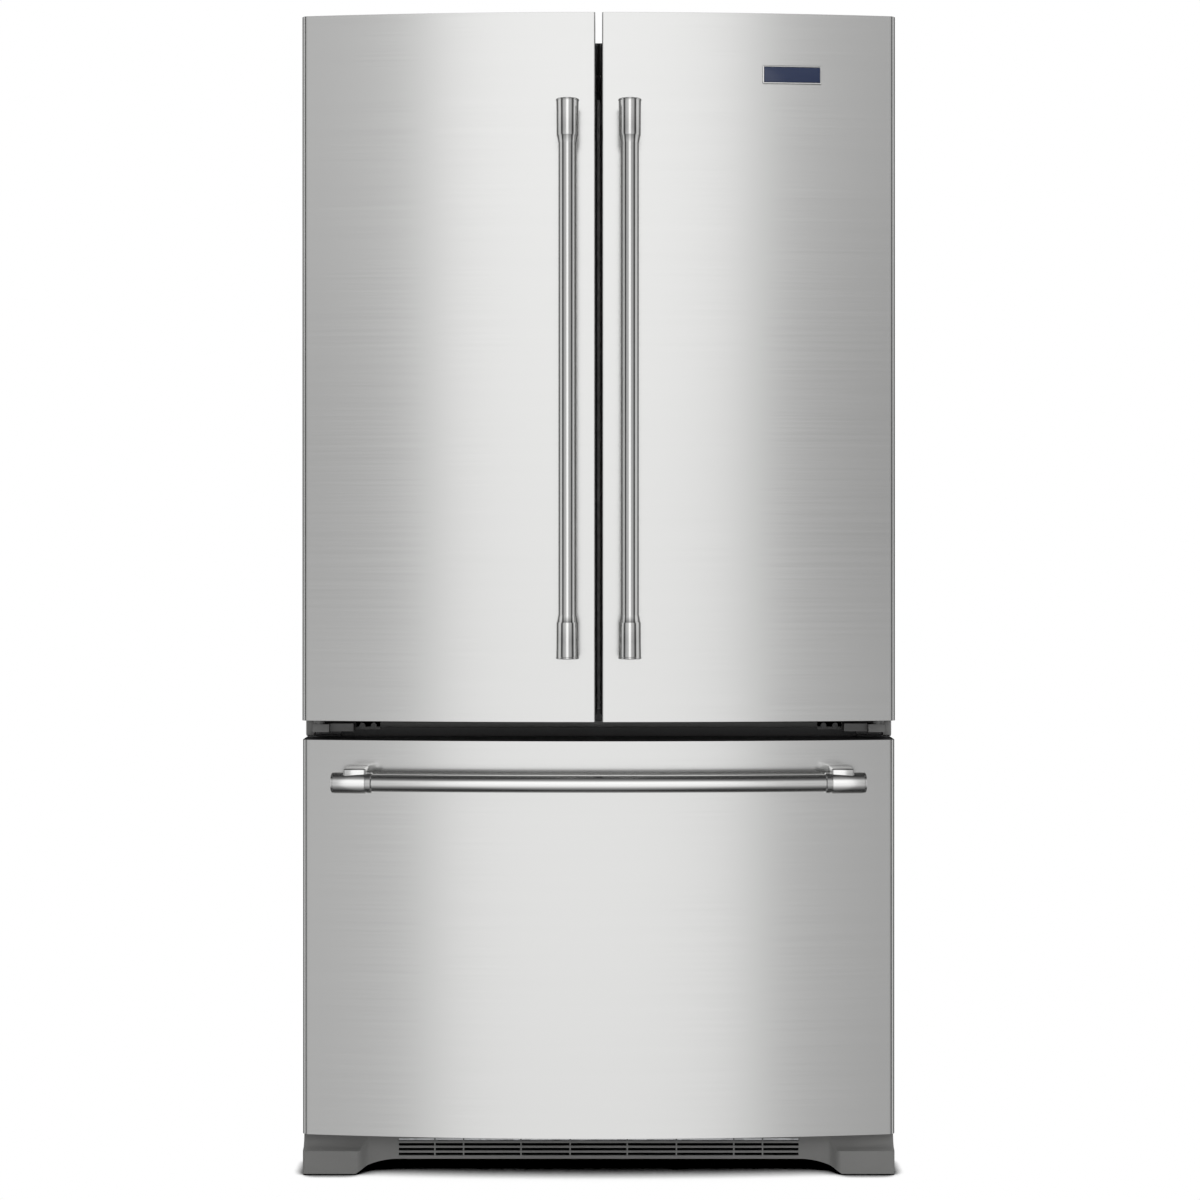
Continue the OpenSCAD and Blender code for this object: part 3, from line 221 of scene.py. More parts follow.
def galvanised(name, colour):
    """Zinc coated sheet with its spangle."""
    n = Nodes(name)
    n.set(Metallic=0.85)
    spangle = n.cells(90.0)
    grey = n.add("ShaderNodeSeparateColor")
    n.link(spangle["Color"], grey.inputs["Color"])
    fine = n.noise(500.0, 2.0)
    return n.finish(
        n.ramp(grey.outputs["Red"], shade(colour, 0.88), shade(colour, 1.1), 0.0, 1.0),
        n.ramp(grey.outputs["Green"], 0.34, 0.5, 0.0, 1.0),
        n.bump(fine, 0.00003, 0.5),
    )


def clear(name, colour, roughness, ior, smear=0.03):
    """Glass or clear plastic, with faint smears in its gloss."""
    n = Nodes(name)
    n.set(Transmission_Weight=1.0, IOR=ior)
    smears = n.noise(14.0, 4.0, (1, 1, 2.5))
    tint = n.noise(3.0, 2.0)
    return n.finish(
        n.ramp(tint, shade(colour, 0.98), shade(colour, 1.0)),
        n.ramp(smears, roughness, roughness + smear),
    )


def clear_plastic(name, colour, alpha):
    """A thin clear moulding: a pale see-through body with a soft gloss and faint haze."""
    n = Nodes(name)
    n.set(Alpha=alpha, IOR=1.49)
    haze = n.noise(6.0, 3.0)
    fine = n.noise(700.0, 2.0)
    return n.finish(
        n.ramp(haze, shade(colour, 0.95), shade(colour, 1.03)),
        n.ramp(haze, 0.08, 0.16),
        n.bump(fine, 0.00001, 0.4),
    )


def rubber(name, colour):
    n = Nodes(name)
    n.set(Specular_IOR_Level=0.35)
    dust = n.noise(60.0, 4.0)
    fine = n.noise(2200.0, 2.0)
    return n.finish(
        n.ramp(dust, shade(colour, 0.85), shade(colour, 1.2)),
        n.ramp(dust, 0.55, 0.75),
        n.bump(fine, 0.00003, 0.6),
    )


def foam(name, colour):
    """Poured polyurethane foam: small cells in a cream skin."""
    n = Nodes(name)
    cell = n.cells(700.0)
    patches = n.noise(20.0, 4.0)
    return n.finish(
        n.ramp(patches, shade(colour, 0.9), shade(colour, 1.08)),
        n.ramp(patches, 0.8, 0.95),
        n.bump(cell["Distance"], 0.0004, 0.8),
    )


GREY_WARM = (0.985, 0.985, 0.975)


def metal(level):
    """A slightly warm metal grey, from black at 0 to near white at 1."""
    return shade(GREY_WARM, level)


def make_materials():
    horizontal = (6, 6, 2600)
    vertical = (2600, 2600, 8)
    return {
        "skin": brushed("stainless_front", metal(0.70), 0.18, horizontal, 0.008, 0.000003),
        "handle": brushed("handle_steel", metal(0.80), 0.13, vertical, 0.02, 0.000006),
        "drawer_bar": brushed("drawer_handle_steel", metal(0.80), 0.15, (6, 2600, 2600), 0.02, 0.000006),
        "badge_frame": brushed("badge_frame_metal", metal(0.86), 0.16, horizontal, 0.02, 0.000006),
        "badge_blue": paint("badge_enamel", (0.007, 0.016, 0.052), 0.22, 0.00001),
        "cabinet": paint("cabinet_paint", (0.10, 0.10, 0.102), 0.38),
        "rail": paint("rail_paint", (0.012, 0.012, 0.0125), 0.45),
        "hinge": paint("hinge_paint", (0.17, 0.17, 0.166), 0.42),
        "enamel": paint("black_enamel", (0.014, 0.014, 0.015), 0.25),
        "liner": plastic("liner_white", (0.80, 0.81, 0.815), 0.3, 0.00001, 900, 0.015, 0.15),
        "trim": plastic("trim_black", (0.018, 0.018, 0.019), 0.42),
        "grille": plastic("grille_grey", (0.150, 0.150, 0.146), 0.5, 0.00004),
        "shelf_trim": plastic("shelf_trim_grey", (0.56, 0.57, 0.58), 0.35, 0.00002),
        "dark_plastic": plastic("wheel_plastic", (0.045, 0.045, 0.047), 0.45),
        "button": plastic("button_silver", (0.45, 0.46, 0.47), 0.3, 0.00001),
        "gasket": rubber("gasket_grey", (0.075, 0.075, 0.077)),
        # the next two paint the slit strip: a light grey as a painted reflection, and black as painted shade
        # over its top
        "strip": rubber("strip_painted_reflection", (0.55, 0.55, 0.55)),
        "black_rubber_painted_shade": rubber("black_rubber_painted_shade", (0.02, 0.02, 0.02)),
        "foam": foam("foam_cream", (0.78, 0.69, 0.46)),
        "zinc": galvanised("zinc_steel", (0.60, 0.61, 0.62)),
        "alloy": brushed("evaporator_alloy", (0.82, 0.83, 0.84), 0.32, (900, 900, 900), 0.04),
        "copper": brushed("copper_tube", (0.80, 0.42, 0.26), 0.28, (300, 300, 300), 0.08, 0.00001),
        "glass": clear("shelf_glass", (0.86, 0.97, 0.93), 0.01, 1.52),
        "clear": clear_plastic("clear_bin", (0.78, 0.84, 0.87), 0.42),
        "lens": clear("lamp_lens", (0.97, 0.97, 0.96), 0.35, 1.45, 0.1),
        "display": paint("display_glass", (0.012, 0.014, 0.018), 0.12, 0.000005),
    }


MATERIALS = make_materials()


# ---------------------------------------------------------------- mesh helpers
def add_object(name, bm, material, body, stands_for=(), angle=35):
    """Turns bm into a smooth shaded piece that rides on body."""
    mesh = bpy.data.meshes.new(name)
    bm.to_mesh(mesh)
    bm.free()
    mesh.materials.append(MATERIALS[material])
    mesh.polygons.foreach_set("use_smooth", [True] * len(mesh.polygons))
    mesh.set_sharp_from_angle(angle=radians(angle))
    obj = bpy.data.objects.new(name, mesh)
    bpy.context.scene.collection.objects.link(obj)
    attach(obj, body)
    if stands_for:
        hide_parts(*stands_for)
    return obj


def add_bevel(obj, width, segments=2, angle=40):
    bevel = obj.modifiers.new("rounded edges", "BEVEL")
    bevel.width = width
    bevel.segments = segments
    bevel.limit_method = "ANGLE"
    bevel.angle_limit = radians(angle)
    bevel.use_clamp_overlap = True
    weighted = obj.modifiers.new("even shading", "WEIGHTED_NORMAL")
    weighted.keep_sharp = True
    return obj


def merged_copy(node):
    """A bmesh of a CAD node with its flat faces merged."""
    bm = bmesh.new()
    bm.from_mesh(frame["nodes"][node].data)
    bmesh.ops.remove_doubles(bm, verts=bm.verts, dist=0.00001)
    bmesh.ops.dissolve_limit(bm, angle_limit=radians(0.3), verts=bm.verts, edges=bm.edges)
    bmesh.ops.recalc_face_normals(bm, faces=bm.faces)
    return bm


def softened(node, material, width):
    """The CAD node's own shape with rounded edges, as a mould or press leaves them."""
    body = frame["nodes"][node]["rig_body"]
    obj = add_object(node + "_moulded", merged_copy(node), material, body, (node,))
    return add_bevel(obj, width)


def carried_over(node, material):
    """Keeps the CAD node and gives it a finished material."""
    slots = frame["nodes"][node].data.materials
    slots.clear()
    slots.append(MATERIALS[material])


def arc(cx, cy, r, start, end, count):
    """Points of an arc, with its angles in degrees."""
    angles = [radians(start + (end - start) * i / count) for i in range(count + 1)]
    return [(cx + r * cos(a), cy + r * sin(a)) for a in angles]


def sweep(bm, stations, sides):
    """Joins rings round the stations, each a centre, a direction and a radius, and closes both ends."""
    rings = []
    for centre, direction, radius in stations:
        direction = Vector(direction).normalized()
        reference = Vector((0, 1, 0)) if abs(direction.y) < 0.9 else Vector((0, 0, 1))
        across = direction.cross(reference).normalized()
        up = across.cross(direction)
        ring = []
        for i in range(sides):
            a = 2 * pi * i / sides
            ring.append(bm.verts.new(Vector(centre) + radius * (cos(a) * across + sin(a) * up)))
        rings.append(ring)
    for low, high in zip(rings, rings[1:]):
        for i in range(sides):
            j = (i + 1) % sides
            bm.faces.new((low[i], low[j], high[j], high[i]))
    bm.faces.new(rings[0][::-1])
    bm.faces.new(rings[-1])


def add_block(bm, low, high, radius=0.0, segments=3):
    """A box from low to high, with rounded edges."""
    low, high = Vector(low), Vector(high)
    made = bmesh.ops.create_cube(bm, size=1.0)["verts"]
    bmesh.ops.scale(bm, vec=high - low, verts=made)
    bmesh.ops.translate(bm, vec=(low + high) / 2, verts=made)
    if radius:
        edges = {e for v in made for e in v.link_edges}
        bmesh.ops.bevel(bm, geom=list(edges), offset=radius, segments=segments, profile=0.5, affect="EDGES")


# ---------------------------------------------------------------- bowed stainless fronts
BOW = 28 * MM
EDGE_RADIUS = 10 * MM
MEETING_RADIUS = 2 * MM
BACK_RADIUS = 1.5 * MM
RETURN_WIDTH = 14 * MM
SKIN_THICKNESS = 1 * MM
POCKET_HEIGHT = 20 * MM
POCKET_WIDTH = 90 * MM
POCKET_DEPTH = 58 * MM

door_low, door_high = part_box("right_door_skin")
half_width = door_high.x
bow_radius = (half_width**2 + BOW**2) / (2 * BOW)
bow_front = door_low.y - (bow_radius - sqrt(bow_radius**2 - door_low.x**2))
bow_centre = bow_front + bow_radius
door_back = door_high.y


def bow_y(x):
    return bow_centre - sqrt(bow_radius**2 - x * x)


def front_outline(x0, x1, r0, r1, stop_y=None):
    """Plan of a bowed skin, from its return at x0 round the front to its return at x1."""
    corner = BACK_RADIUS
    points = [(x0 + RETURN_WIDTH, door_back)]
    points += arc(x0 + corner, door_back - corner, corner, 90, 180, 3)
    points += arc(x0 + r0, bow_y(x0 + r0) + r0, r0, 180, 270, 8)
    steps = 72
    for i in range(1, steps):
        x = x0 + r0 + (x1 - x0 - r0 - r1) * i / steps
        points.append((x, bow_y(x)))
    points += arc(x1 - r1, bow_y(x1 - r1) + r1, r1, 270, 360, 8)
    if stop_y is not None:
        points.append((x1, stop_y))
    points += arc(x1 - corner, door_back - corner, corner, 0, 90, 3)
    points.append((x1 - RETURN_WIDTH, door_back))
    return points


def make_skin(node, radii, pocket=None, mirrored=False):
    """A pressed skin. pocket is the hinge recess's lower z, inner x and front y."""
    low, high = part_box(node)
    x0, x1 = (-high.x, -low.x) if mirrored else (low.x, high.x)
    outline = front_outline(x0, x1, *radii, stop_y=pocket[2] if pocket else None)
    heights = [low.z, pocket[0], high.z] if pocket else [low.z, high.z]
    bm = bmesh.new()
    side = -1 if mirrored else 1
    rows = [[bm.verts.new((side * x, y, z)) for x, y in outline] for z in heights]
    for level, (below, above) in enumerate(zip(rows, rows[1:])):
        for i in range(len(outline) - 1):
            (xa, ya), (xb, yb) = outline[i], outline[i + 1]
            inside = pocket and min(xa, xb) > pocket[1] and min(ya, yb) >= pocket[2] - 1e-6
            if level and inside:
                continue
            quad = (below[i], below[i + 1], above[i + 1], above[i])
            bm.faces.new(quad[::-1] if mirrored else quad)
    loose = [v for v in bm.verts if not v.link_faces]
    bmesh.ops.delete(bm, geom=loose, context="VERTS")
    body = frame["nodes"][node]["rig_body"]
    skin = add_object(node + "_pressed", bm, "skin", body, (node,), 50)
    solid = skin.modifiers.new("sheet thickness", "SOLIDIFY")
    solid.thickness = SKIN_THICKNESS
    solid.offset = -1
    add_bevel(skin, 0.3 * MM, 2, 60)
    return skin


def make_skins():
    pocket_z = door_high.z - POCKET_HEIGHT
    pocket = (pocket_z, door_high.x - POCKET_WIDTH, door_back - POCKET_DEPTH)
    make_skin("right_door_skin", (MEETING_RADIUS, EDGE_RADIUS), pocket)
    make_skin("left_door_skin", (MEETING_RADIUS, EDGE_RADIUS), pocket, True)
    make_skin("drawer_skin", (EDGE_RADIUS, EDGE_RADIUS))


# ---------------------------------------------------------------- handles
HANDLE_SIDES = 72
CUP_LENGTH = 55 * MM
CONE_LENGTH = 10 * MM
BAR_RADIUS = 13.5 * MM
DOOR_CUP_RADIUS = 17.5 * MM
POST_INSET = 28 * MM
POST_SIZE = (24 * MM, 34 * MM)


def door_cup_profile(cup_radius):
    """Distance from the handle's end and radius, for one flared end cup."""
    return [
        (1.6 * MM, cup_radius - 5.0 * MM),
        (1.4 * MM, cup_radius - 4.2 * MM),
        (0.0, cup_radius - 3.4 * MM),
        (0.0, cup_radius - 1.3 * MM),
        (0.4 * MM, cup_radius - 0.5 * MM),
        (1.3 * MM, cup_radius),
        (2.3 * MM, cup_radius - 0.1 * MM),
        (3.2 * MM, cup_radius - 0.7 * MM),
        (20 * MM, cup_radius - 1.0 * MM),
        (CUP_LENGTH - 1.2 * MM, cup_radius - 1.2 * MM),
        (CUP_LENGTH, cup_radius - 1.5 * MM),
        (CUP_LENGTH + 0.5 * MM, cup_radius - 1.9 * MM),
        (CUP_LENGTH + CONE_LENGTH - 1.0 * MM, BAR_RADIUS + 0.5 * MM),
        (CUP_LENGTH + CONE_LENGTH, BAR_RADIUS + 0.1 * MM),
        (CUP_LENGTH + CONE_LENGTH + 0.6 * MM, BAR_RADIUS),
    ]


def make_door_handle(side):
    node = side + "_handle"
    low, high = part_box(node)
    radius = (high.x - low.x) / 2
    x, y = (low.x + high.x) / 2, low.y + radius
    body = side + "_door"
    profile = door_cup_profile(radius)
    stations = [((x, y, low.z + d), (0, 0, 1), r) for d, r in profile]
    stations += [((x, y, high.z - d), (0, 0, 1), r) for d, r in reversed(profile)]
    bm = bmesh.new()
    sweep(bm, stations, HANDLE_SIDES)
    add_object(side + "_handle_bar", bm, "handle", body, (node,), 28)
    bm = bmesh.new()
    wide, tall = POST_SIZE
    for z in (low.z + POST_INSET, high.z - POST_INSET):
        add_block(bm, (x - wide / 2, y, z - tall / 2), (x + wide / 2, high.y, z + tall / 2), 3 * MM)
    add_object(side + "_handle_posts", bm, "handle", body, (node,))


DRAWER_BAR_RADIUS = 13 * MM
DRAWER_CUP_LENGTH = 62 * MM
DRAWER_CUP_RADIUS = 16 * MM
DRAWER_POST_X = 365 * MM
DRAWER_POST_WIDTH = 34 * MM
DRAWER_POST_Z = (-11 * MM, 22 * MM)
DRAWER_POST_SETBACK = 8 * MM
DRAWER_POST_SINK = 1 * MM


def drawer_cup_profile():
    """Distance past the bowed bar's end and radius, for one straight end cup."""
    cup_radius = DRAWER_CUP_RADIUS
    return [
        (0.0, DRAWER_BAR_RADIUS + 0.2 * MM),
        (0.4 * MM, DRAWER_BAR_RADIUS + 1.6 * MM),
        (1.6 * MM, DRAWER_BAR_RADIUS + 2.4 * MM),
        (8.0 * MM, cup_radius - 0.9 * MM),
        (8.4 * MM, cup_radius - 1.6 * MM),
        (9.2 * MM, cup_radius - 1.6 * MM),
        (9.6 * MM, cup_radius - 0.5 * MM),
        (11.0 * MM, cup_radius),
        (DRAWER_CUP_LENGTH - 4.4 * MM, cup_radius),
        (DRAWER_CUP_LENGTH - 4.2 * MM, cup_radius - 0.4 * MM),
        (DRAWER_CUP_LENGTH - 3.8 * MM, cup_radius - 0.4 * MM),
        (DRAWER_CUP_LENGTH - 3.6 * MM, cup_radius - 0.1 * MM),
        (DRAWER_CUP_LENGTH - 1.4 * MM, cup_radius - 0.4 * MM),
        (DRAWER_CUP_LENGTH - 0.4 * MM, cup_radius - 1.2 * MM),
        (DRAWER_CUP_LENGTH, cup_radius - 2.4 * MM),
        (DRAWER_CUP_LENGTH + 0.01 * MM, cup_radius - 8.0 * MM),
    ]


def make_drawer_handle():
    """A bar that follows the bow, with a straight cup on each end and two posts."""
    low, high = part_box("drawer_handle")
    z = low.z + DRAWER_CUP_RADIUS
    half = (high.x - low.x) / 2
    axis_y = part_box("right_handle")[0].y + DOOR_CUP_RADIUS
    bend = bow_centre - axis_y
    turn = asin((half - DRAWER_CUP_LENGTH) / bend)
    stations = []
    steps = 48
    for i in range(steps + 1):
        a = turn * (2 * i / steps - 1)
        centre = (bend * sin(a), bow_centre - bend * cos(a), z)
        stations.append((centre, (cos(a), sin(a), 0), DRAWER_BAR_RADIUS))
    cup = drawer_cup_profile()
    for s, end in ((1, stations[-1]), (-1, stations[0])):
        centre, direction = Vector(end[0]), Vector(end[1]) * s
        run = [(tuple(centre + direction * d), tuple(Vector(end[1])), r) for d, r in cup]
        stations = stations + run if s > 0 else run[::-1] + stations
    bm = bmesh.new()
    sweep(bm, stations, HANDLE_SIDES)
    node = "drawer_handle"
    add_object("drawer_handle_bar", bm, "drawer_bar", "freezer_drawer", (node,), 28)
    bm = bmesh.new()
    for side in (-1, 1):
        x = side * DRAWER_POST_X
        front = (x - DRAWER_POST_WIDTH / 2, axis_y + DRAWER_POST_SETBACK, z + DRAWER_POST_Z[0])
        back = (x + DRAWER_POST_WIDTH / 2, bow_y(x) + DRAWER_POST_SINK, z + DRAWER_POST_Z[1])
        add_block(bm, front, back, 3 * MM)
    add_object("drawer_handle_posts", bm, "drawer_bar", "freezer_drawer", (node,))


# ---------------------------------------------------------------- badge
BADGE_DEPTH = 3 * MM
BADGE_RIM = 2.6 * MM
BADGE_LIP = 0.9 * MM
BADGE_CORNER = 2.5 * MM


def make_badge():
    """A plain badge: a bright frame round a blank enamel field."""
    low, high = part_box("badge")
    x = (low.x + high.x) / 2
    z = (low.z + high.z) / 2
    angle = asin(x / bow_radius)
    place = Matrix.Translation((0, bow_centre, z)) @ Matrix.Rotation(angle, 4, "Z")
    place = place @ Matrix.Translation((0, -bow_radius - 0.1 * MM, 0))
    wide, tall = (high.x - low.x) / 2 / cos(angle) - 0.2 * MM, (high.z - low.z) / 2
    rim, lip, corner = BADGE_RIM, BADGE_LIP, BADGE_CORNER

    def loop(bm, inset, depth):
        r = max(corner - inset, 0.4 * MM)
        w, t = wide - inset, tall - inset
        points = arc(w - r, t - r, r, 0, 90, 5) + arc(-w + r, t - r, r, 90, 180, 5)
        points += arc(-w + r, -t + r, r, 180, 270, 5) + arc(w - r, -t + r, r, 270, 360, 5)
        return [bm.verts.new((px, -depth, pz)) for px, pz in points]

    def close(bm, loops, name, material):
        for a, b in zip(loops, loops[1:]):
            for i in range(len(a)):
                j = (i + 1) % len(a)
                bm.faces.new((a[i], a[j], b[j], b[i]))
        bm.faces.new(loops[-1])
        bm.faces.new(loops[0][::-1])
        bmesh.ops.recalc_face_normals(bm, faces=bm.faces)
        bmesh.ops.transform(bm, matrix=place, verts=bm.verts)
        add_object(name, bm, material, "right_door", ("badge",), 40)

    bm = bmesh.new()
    loops = [
        loop(bm, 0, 0.1 * MM),
        loop(bm, 0, BADGE_DEPTH - lip),
        loop(bm, 0.3 * MM, BADGE_DEPTH - 0.3 * MM),
        loop(bm, 0.9 * MM, BADGE_DEPTH),
        loop(bm, rim - 0.6 * MM, BADGE_DEPTH - 0.1 * MM),
        loop(bm, rim, BADGE_DEPTH - 0.8 * MM),
        loop(bm, rim + 0.1 * MM, BADGE_DEPTH - 1.6 * MM),
    ]
    close(bm, loops, "badge_frame", "badge_frame")
    bm = bmesh.new()
    loops = [
        loop(bm, rim + 0.2 * MM, BADGE_DEPTH - 1.5 * MM),
        loop(bm, rim + 0.3 * MM, BADGE_DEPTH - 1.0 * MM),
        loop(bm, rim + 0.9 * MM, BADGE_DEPTH - 0.7 * MM),
    ]
    close(bm, loops, "badge_field", "badge_blue")


# ---------------------------------------------------------------- cabinet wrapper and liners
LINER_WALL = 3 * MM
LINER_CORNER = 14 * MM


def make_open_box(name, low, high, open_side, radius, thickness, material, body, stands_for, outward):
    """A box without its open_side, with round edges, thickened inward or outward."""
    bm = bmesh.new()
    add_block(bm, low, high)
    gone = [f for f in bm.faces if f.normal.dot(Vector(open_side)) > 0.9]
    bmesh.ops.delete(bm, geom=gone, context="FACES_ONLY")
    edges = [e for e in bm.edges if len(e.link_faces) == 2]
    bmesh.ops.bevel(bm, geom=edges, offset=radius, segments=8, profile=0.5, affect="EDGES")
    obj = add_object(name, bm, material, body, stands_for)
    solid = obj.modifiers.new("wall thickness", "SOLIDIFY")
    solid.thickness = thickness
    solid.offset = 1 if outward else -1
    return obj


def make_fridge_liner():
    low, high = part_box("fridge_liner")
    inner_low = low + Vector((LINER_WALL, 0, LINER_WALL))
    inner_high = high - Vector((LINER_WALL, LINER_WALL, LINER_WALL))
    make_open_box("fridge_liner_moulded", inner_low, inner_high, (0, -1, 0), LINER_CORNER,
        LINER_WALL - 0.2 * MM, "liner", "cabinet", ("fridge_liner",), True)


# ---------------------------------------------------------------- base grille
ARCH_X = 307 * MM
ARCH_RADIUS = 118 * MM
ARCH_HEIGHT = 18.5 * MM
COVER_INNER_X = 368 * MM
COVER_BEND = 16 * MM
COVER_FACE_Z = 36.4 * MM
COVER_WALL = 2.6 * MM
COVER_CORNER = 4 * MM


def cover_point(x, share, low, high, bottom):
    """Front of a foot cover at x: share 0 is its lower edge, 1 the face's top edge, 2 the upper edge."""
    if share <= 1:
        z = bottom + (COVER_FACE_Z - bottom) * share
    else:
        z = COVER_FACE_Z + (high.z - COVER_FACE_Z) * sin((share - 1) * pi / 2)
    inward = min(1.0, max(0.0, (COVER_INNER_X - x) / COVER_BEND))
    plan_y = low.y + COVER_BEND * (1 - cos(inward * pi)) / 2
    rise = min(1.0, (high.z - z) / (high.z - COVER_FACE_Z))
    slope_y = low.y + COVER_BEND * sqrt(1 - rise**2)
    return max(plan_y, slope_y), z


def make_foot_cover(side):
    """One foot cover: a flat face, a hollow slope above it and the arch beside it."""
    low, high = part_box("base_grille")
    arch_top = low.z + ARCH_HEIGHT
    # shares up the face, then up the slope
    rows = [i / 8 for i in range(8)] + [1 + i / 14 for i in range(15)]
    columns = []
    steps = 60
    for i in range(steps + 1):
        x = ARCH_X + (high.x - COVER_CORNER - ARCH_X) * i / steps
        drop = ARCH_RADIUS - sqrt(max(0.0, ARCH_RADIUS**2 - (x - ARCH_X) ** 2))
        bottom = max(low.z, arch_top - drop)
        columns.append([(x, *cover_point(x, share, low, high, bottom)) for share in rows])
    last = columns[-1]
    for px, py in arc(0, 0, COVER_CORNER, 270, 360, 5)[1:]:
        columns.append([(x + px, y + COVER_CORNER + py, z) for x, y, z in last])
    columns.append([(high.x, high.y, z) for x, y, z in last])
    bm = bmesh.new()
    grid = [[bm.verts.new((side * x, y, z)) for x, y, z in column] for column in columns]
    for a, b in zip(grid, grid[1:]):
        for i in range(len(rows) - 1):
            quad = (a[i], b[i], b[i + 1], a[i + 1])
            bm.faces.new(quad if side > 0 else quad[::-1])
    cover = add_object(f"foot_cover_{side}", bm, "grille", "cabinet", ("base_grille",), 40)
    solid = cover.modifiers.new("wall thickness", "SOLIDIFY")
    solid.thickness = COVER_WALL
    solid.offset = -1
    add_bevel(cover, 0.5 * MM, 2, 50)


def make_base_grille():
    bm = merged_copy("base_grille")
    for side in (-1, 1):
        everything = bm.verts[:] + bm.edges[:] + bm.faces[:]
        cut = (side * ARCH_X, 0, 0)
        away = (side, 0, 0)
        bmesh.ops.bisect_plane(bm, geom=everything, dist=1e-6, plane_co=cut, plane_no=away, clear_outer=True)
        make_foot_cover(side)
    grille = add_object("base_grille_middle", bm, "grille", "cabinet", ("base_grille",))
    add_bevel(grille, 0.6 * MM)


# ---------------------------------------------------------------- door bins
LEFT_OPEN_BINS = 4
RIGHT_OPEN_BINS = 3
BIN_CORNER = 9 * MM
BIN_WALL = 2.5 * MM
BIN_LIP_DEPTH = 5 * MM
BIN_LIP_HEIGHT = 14 * MM
BIN_LIP_ROUND = 2.2 * MM


def islands(node):
    """The separate solids of a CAD node, each as its vertex places."""
    bm = merged_copy(node)
    left = set(bm.verts)
    found = []
    while left:
        queue = [left.pop()]
        island = []
        while queue:
            vert = queue.pop()
            island.append(vert.co.copy())
            for edge in vert.link_edges:
                other = edge.other_vert(vert)
                if other in left:
                    left.remove(other)
                    queue.append(other)
        found.append(island)
    bm.free()
    return sorted(found, key=lambda places: min(p.z for p in places))


def make_door_bins(side, open_bins):
    """Moulded clear bins with round corners and a rolled lip on the inner edge."""
    node = side + "_door_bins"
    for number, places in enumerate(islands(node)[:open_bins]):
        low = Vector([min(p[k] for p in places) for k in range(3)])
        high = Vector([max(p[k] for p in places) for k in range(3)])
        name = f"{side}_door_bin_{number}"
        inner = high - Vector((0, BIN_LIP_DEPTH, 0))
        make_open_box(name, low, inner, (0, 0, 1), BIN_CORNER, BIN_WALL,
            "clear", side + "_door", (node,), False)
        bm = bmesh.new()
        add_block(bm, (low.x, inner.y, high.z - BIN_LIP_HEIGHT), high, BIN_LIP_ROUND)
        add_object(name + "_lip", bm, "clear", side + "_door", (node,))


def make_dairy_box(open_bins):
    """The dairy compartment, over the open bins, keeps its CAD shape with softened edges."""
    node = "right_door_bins"
    floor = min(p.z for p in islands(node)[open_bins])
    bm = merged_copy(node)
    below = [v for v in bm.verts if v.co.z < floor - 1 * MM]
    bmesh.ops.delete(bm, geom=below, context="VERTS")
    box = add_object("dairy_box", bm, "clear", "right_door", (node,))
    add_bevel(box, 0.9 * MM)


# ---------------------------------------------------------------- centre hinges, rail lip with painted light, and slit strips with painted reflection and shade
BRACKET_DEPTH = 28 * MM
EAR_REACH = 12 * MM
EAR_DEPTH = 22 * MM
EAR_DROP = 6 * MM
EAR_RISE = 18 * MM
FLANGE_REACH = 40 * MM
FLANGE_SETBACK = 4 * MM
FLANGE_GAP = 1.5 * MM


def make_hinge_ears():
    """The folded ear at the outer end of each centre hinge, flush with the door's edge."""
    low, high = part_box("center_hinges")
    bracket_front = door_back - BRACKET_DEPTH
    flange_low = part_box("drawer_skin")[1].z + FLANGE_GAP
    for side in (-1, 1):
        bm = bmesh.new()
        inner, outer = sorted((side * (high.x - 1 * MM), side * (high.x + EAR_REACH)))
        front = (inner, bracket_front, low.z - EAR_DROP)
        back = (outer, bracket_front + EAR_DEPTH, low.z + EAR_RISE)
        add_block(bm, front, back, 1.2 * MM)
        add_object(f"hinge_ear_{side}", bm, "hinge", "cabinet")
        bm = bmesh.new()
        inner, outer = sorted((side * (high.x - FLANGE_REACH), side * (high.x + EAR_REACH)))
        front = (inner, bracket_front + FLANGE_SETBACK, flange_low)
        back = (outer, bracket_front + EAR_DEPTH, low.z - EAR_DROP - 0.4 * MM)
        add_block(bm, front, back, 0.8 * MM)
        add_object(f"hinge_flange_{side}", bm, "rail", "cabinet")


LIP_DEPTH = 4 * MM
LIP_INSET = 60 * MM
LIP_BOTTOM = 3 * MM
LIP_TOP = 13.5 * MM


def make_rail_front_painted_light():
    """The rail's folded front lip, seen between the doors and the drawer, in the hinges' lighter grey:
    painted light on the top edge of the near-black rail.
    """
    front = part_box("center_rail")[0].y
    low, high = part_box("center_hinges")
    reach = high.x - LIP_INSET
    bm = bmesh.new()
    back = (reach, front, low.z + LIP_TOP)
    add_block(bm, (-reach, front - LIP_DEPTH, low.z + LIP_BOTTOM), back, 1.2 * MM)
    # the hinges' lighter grey paints light falling on the rail's top edge
    add_object("rail_front_painted_light", bm, "hinge", "cabinet")


STRIP_TOP = 1652 * MM
STRIP_HALF = 2.2 * MM
STRIP_INSET = 0.2 * MM
STRIP_DEPTH = 3 * MM
STRIP_DROP = 8 * MM
STRIP_ROUND = 0.4 * MM


def make_slit_strips():
    """The visible face of the left gasket's lip, with painted light and shade: its light grey along the
    strip is a painted reflection, and its black over the top is painted shade.
    """
    low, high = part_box("left_door_gasket")
    y = low.y + STRIP_INSET
    # the grey span is a painted reflection, and the black span over its top is painted shade
    spans = [
        ("strip", "strip", low.z + STRIP_DROP, STRIP_TOP),
        ("strip_end_painted_shade", "black_rubber_painted_shade", STRIP_TOP, high.z),
    ]
    for name, material, z0, z1 in spans:
        bm = bmesh.new()
        front = (-STRIP_HALF, y - STRIP_DEPTH, z0)
        add_block(bm, front, (STRIP_HALF, y, z1), STRIP_ROUND)
        add_object("slit_" + name, bm, material, "left_door")


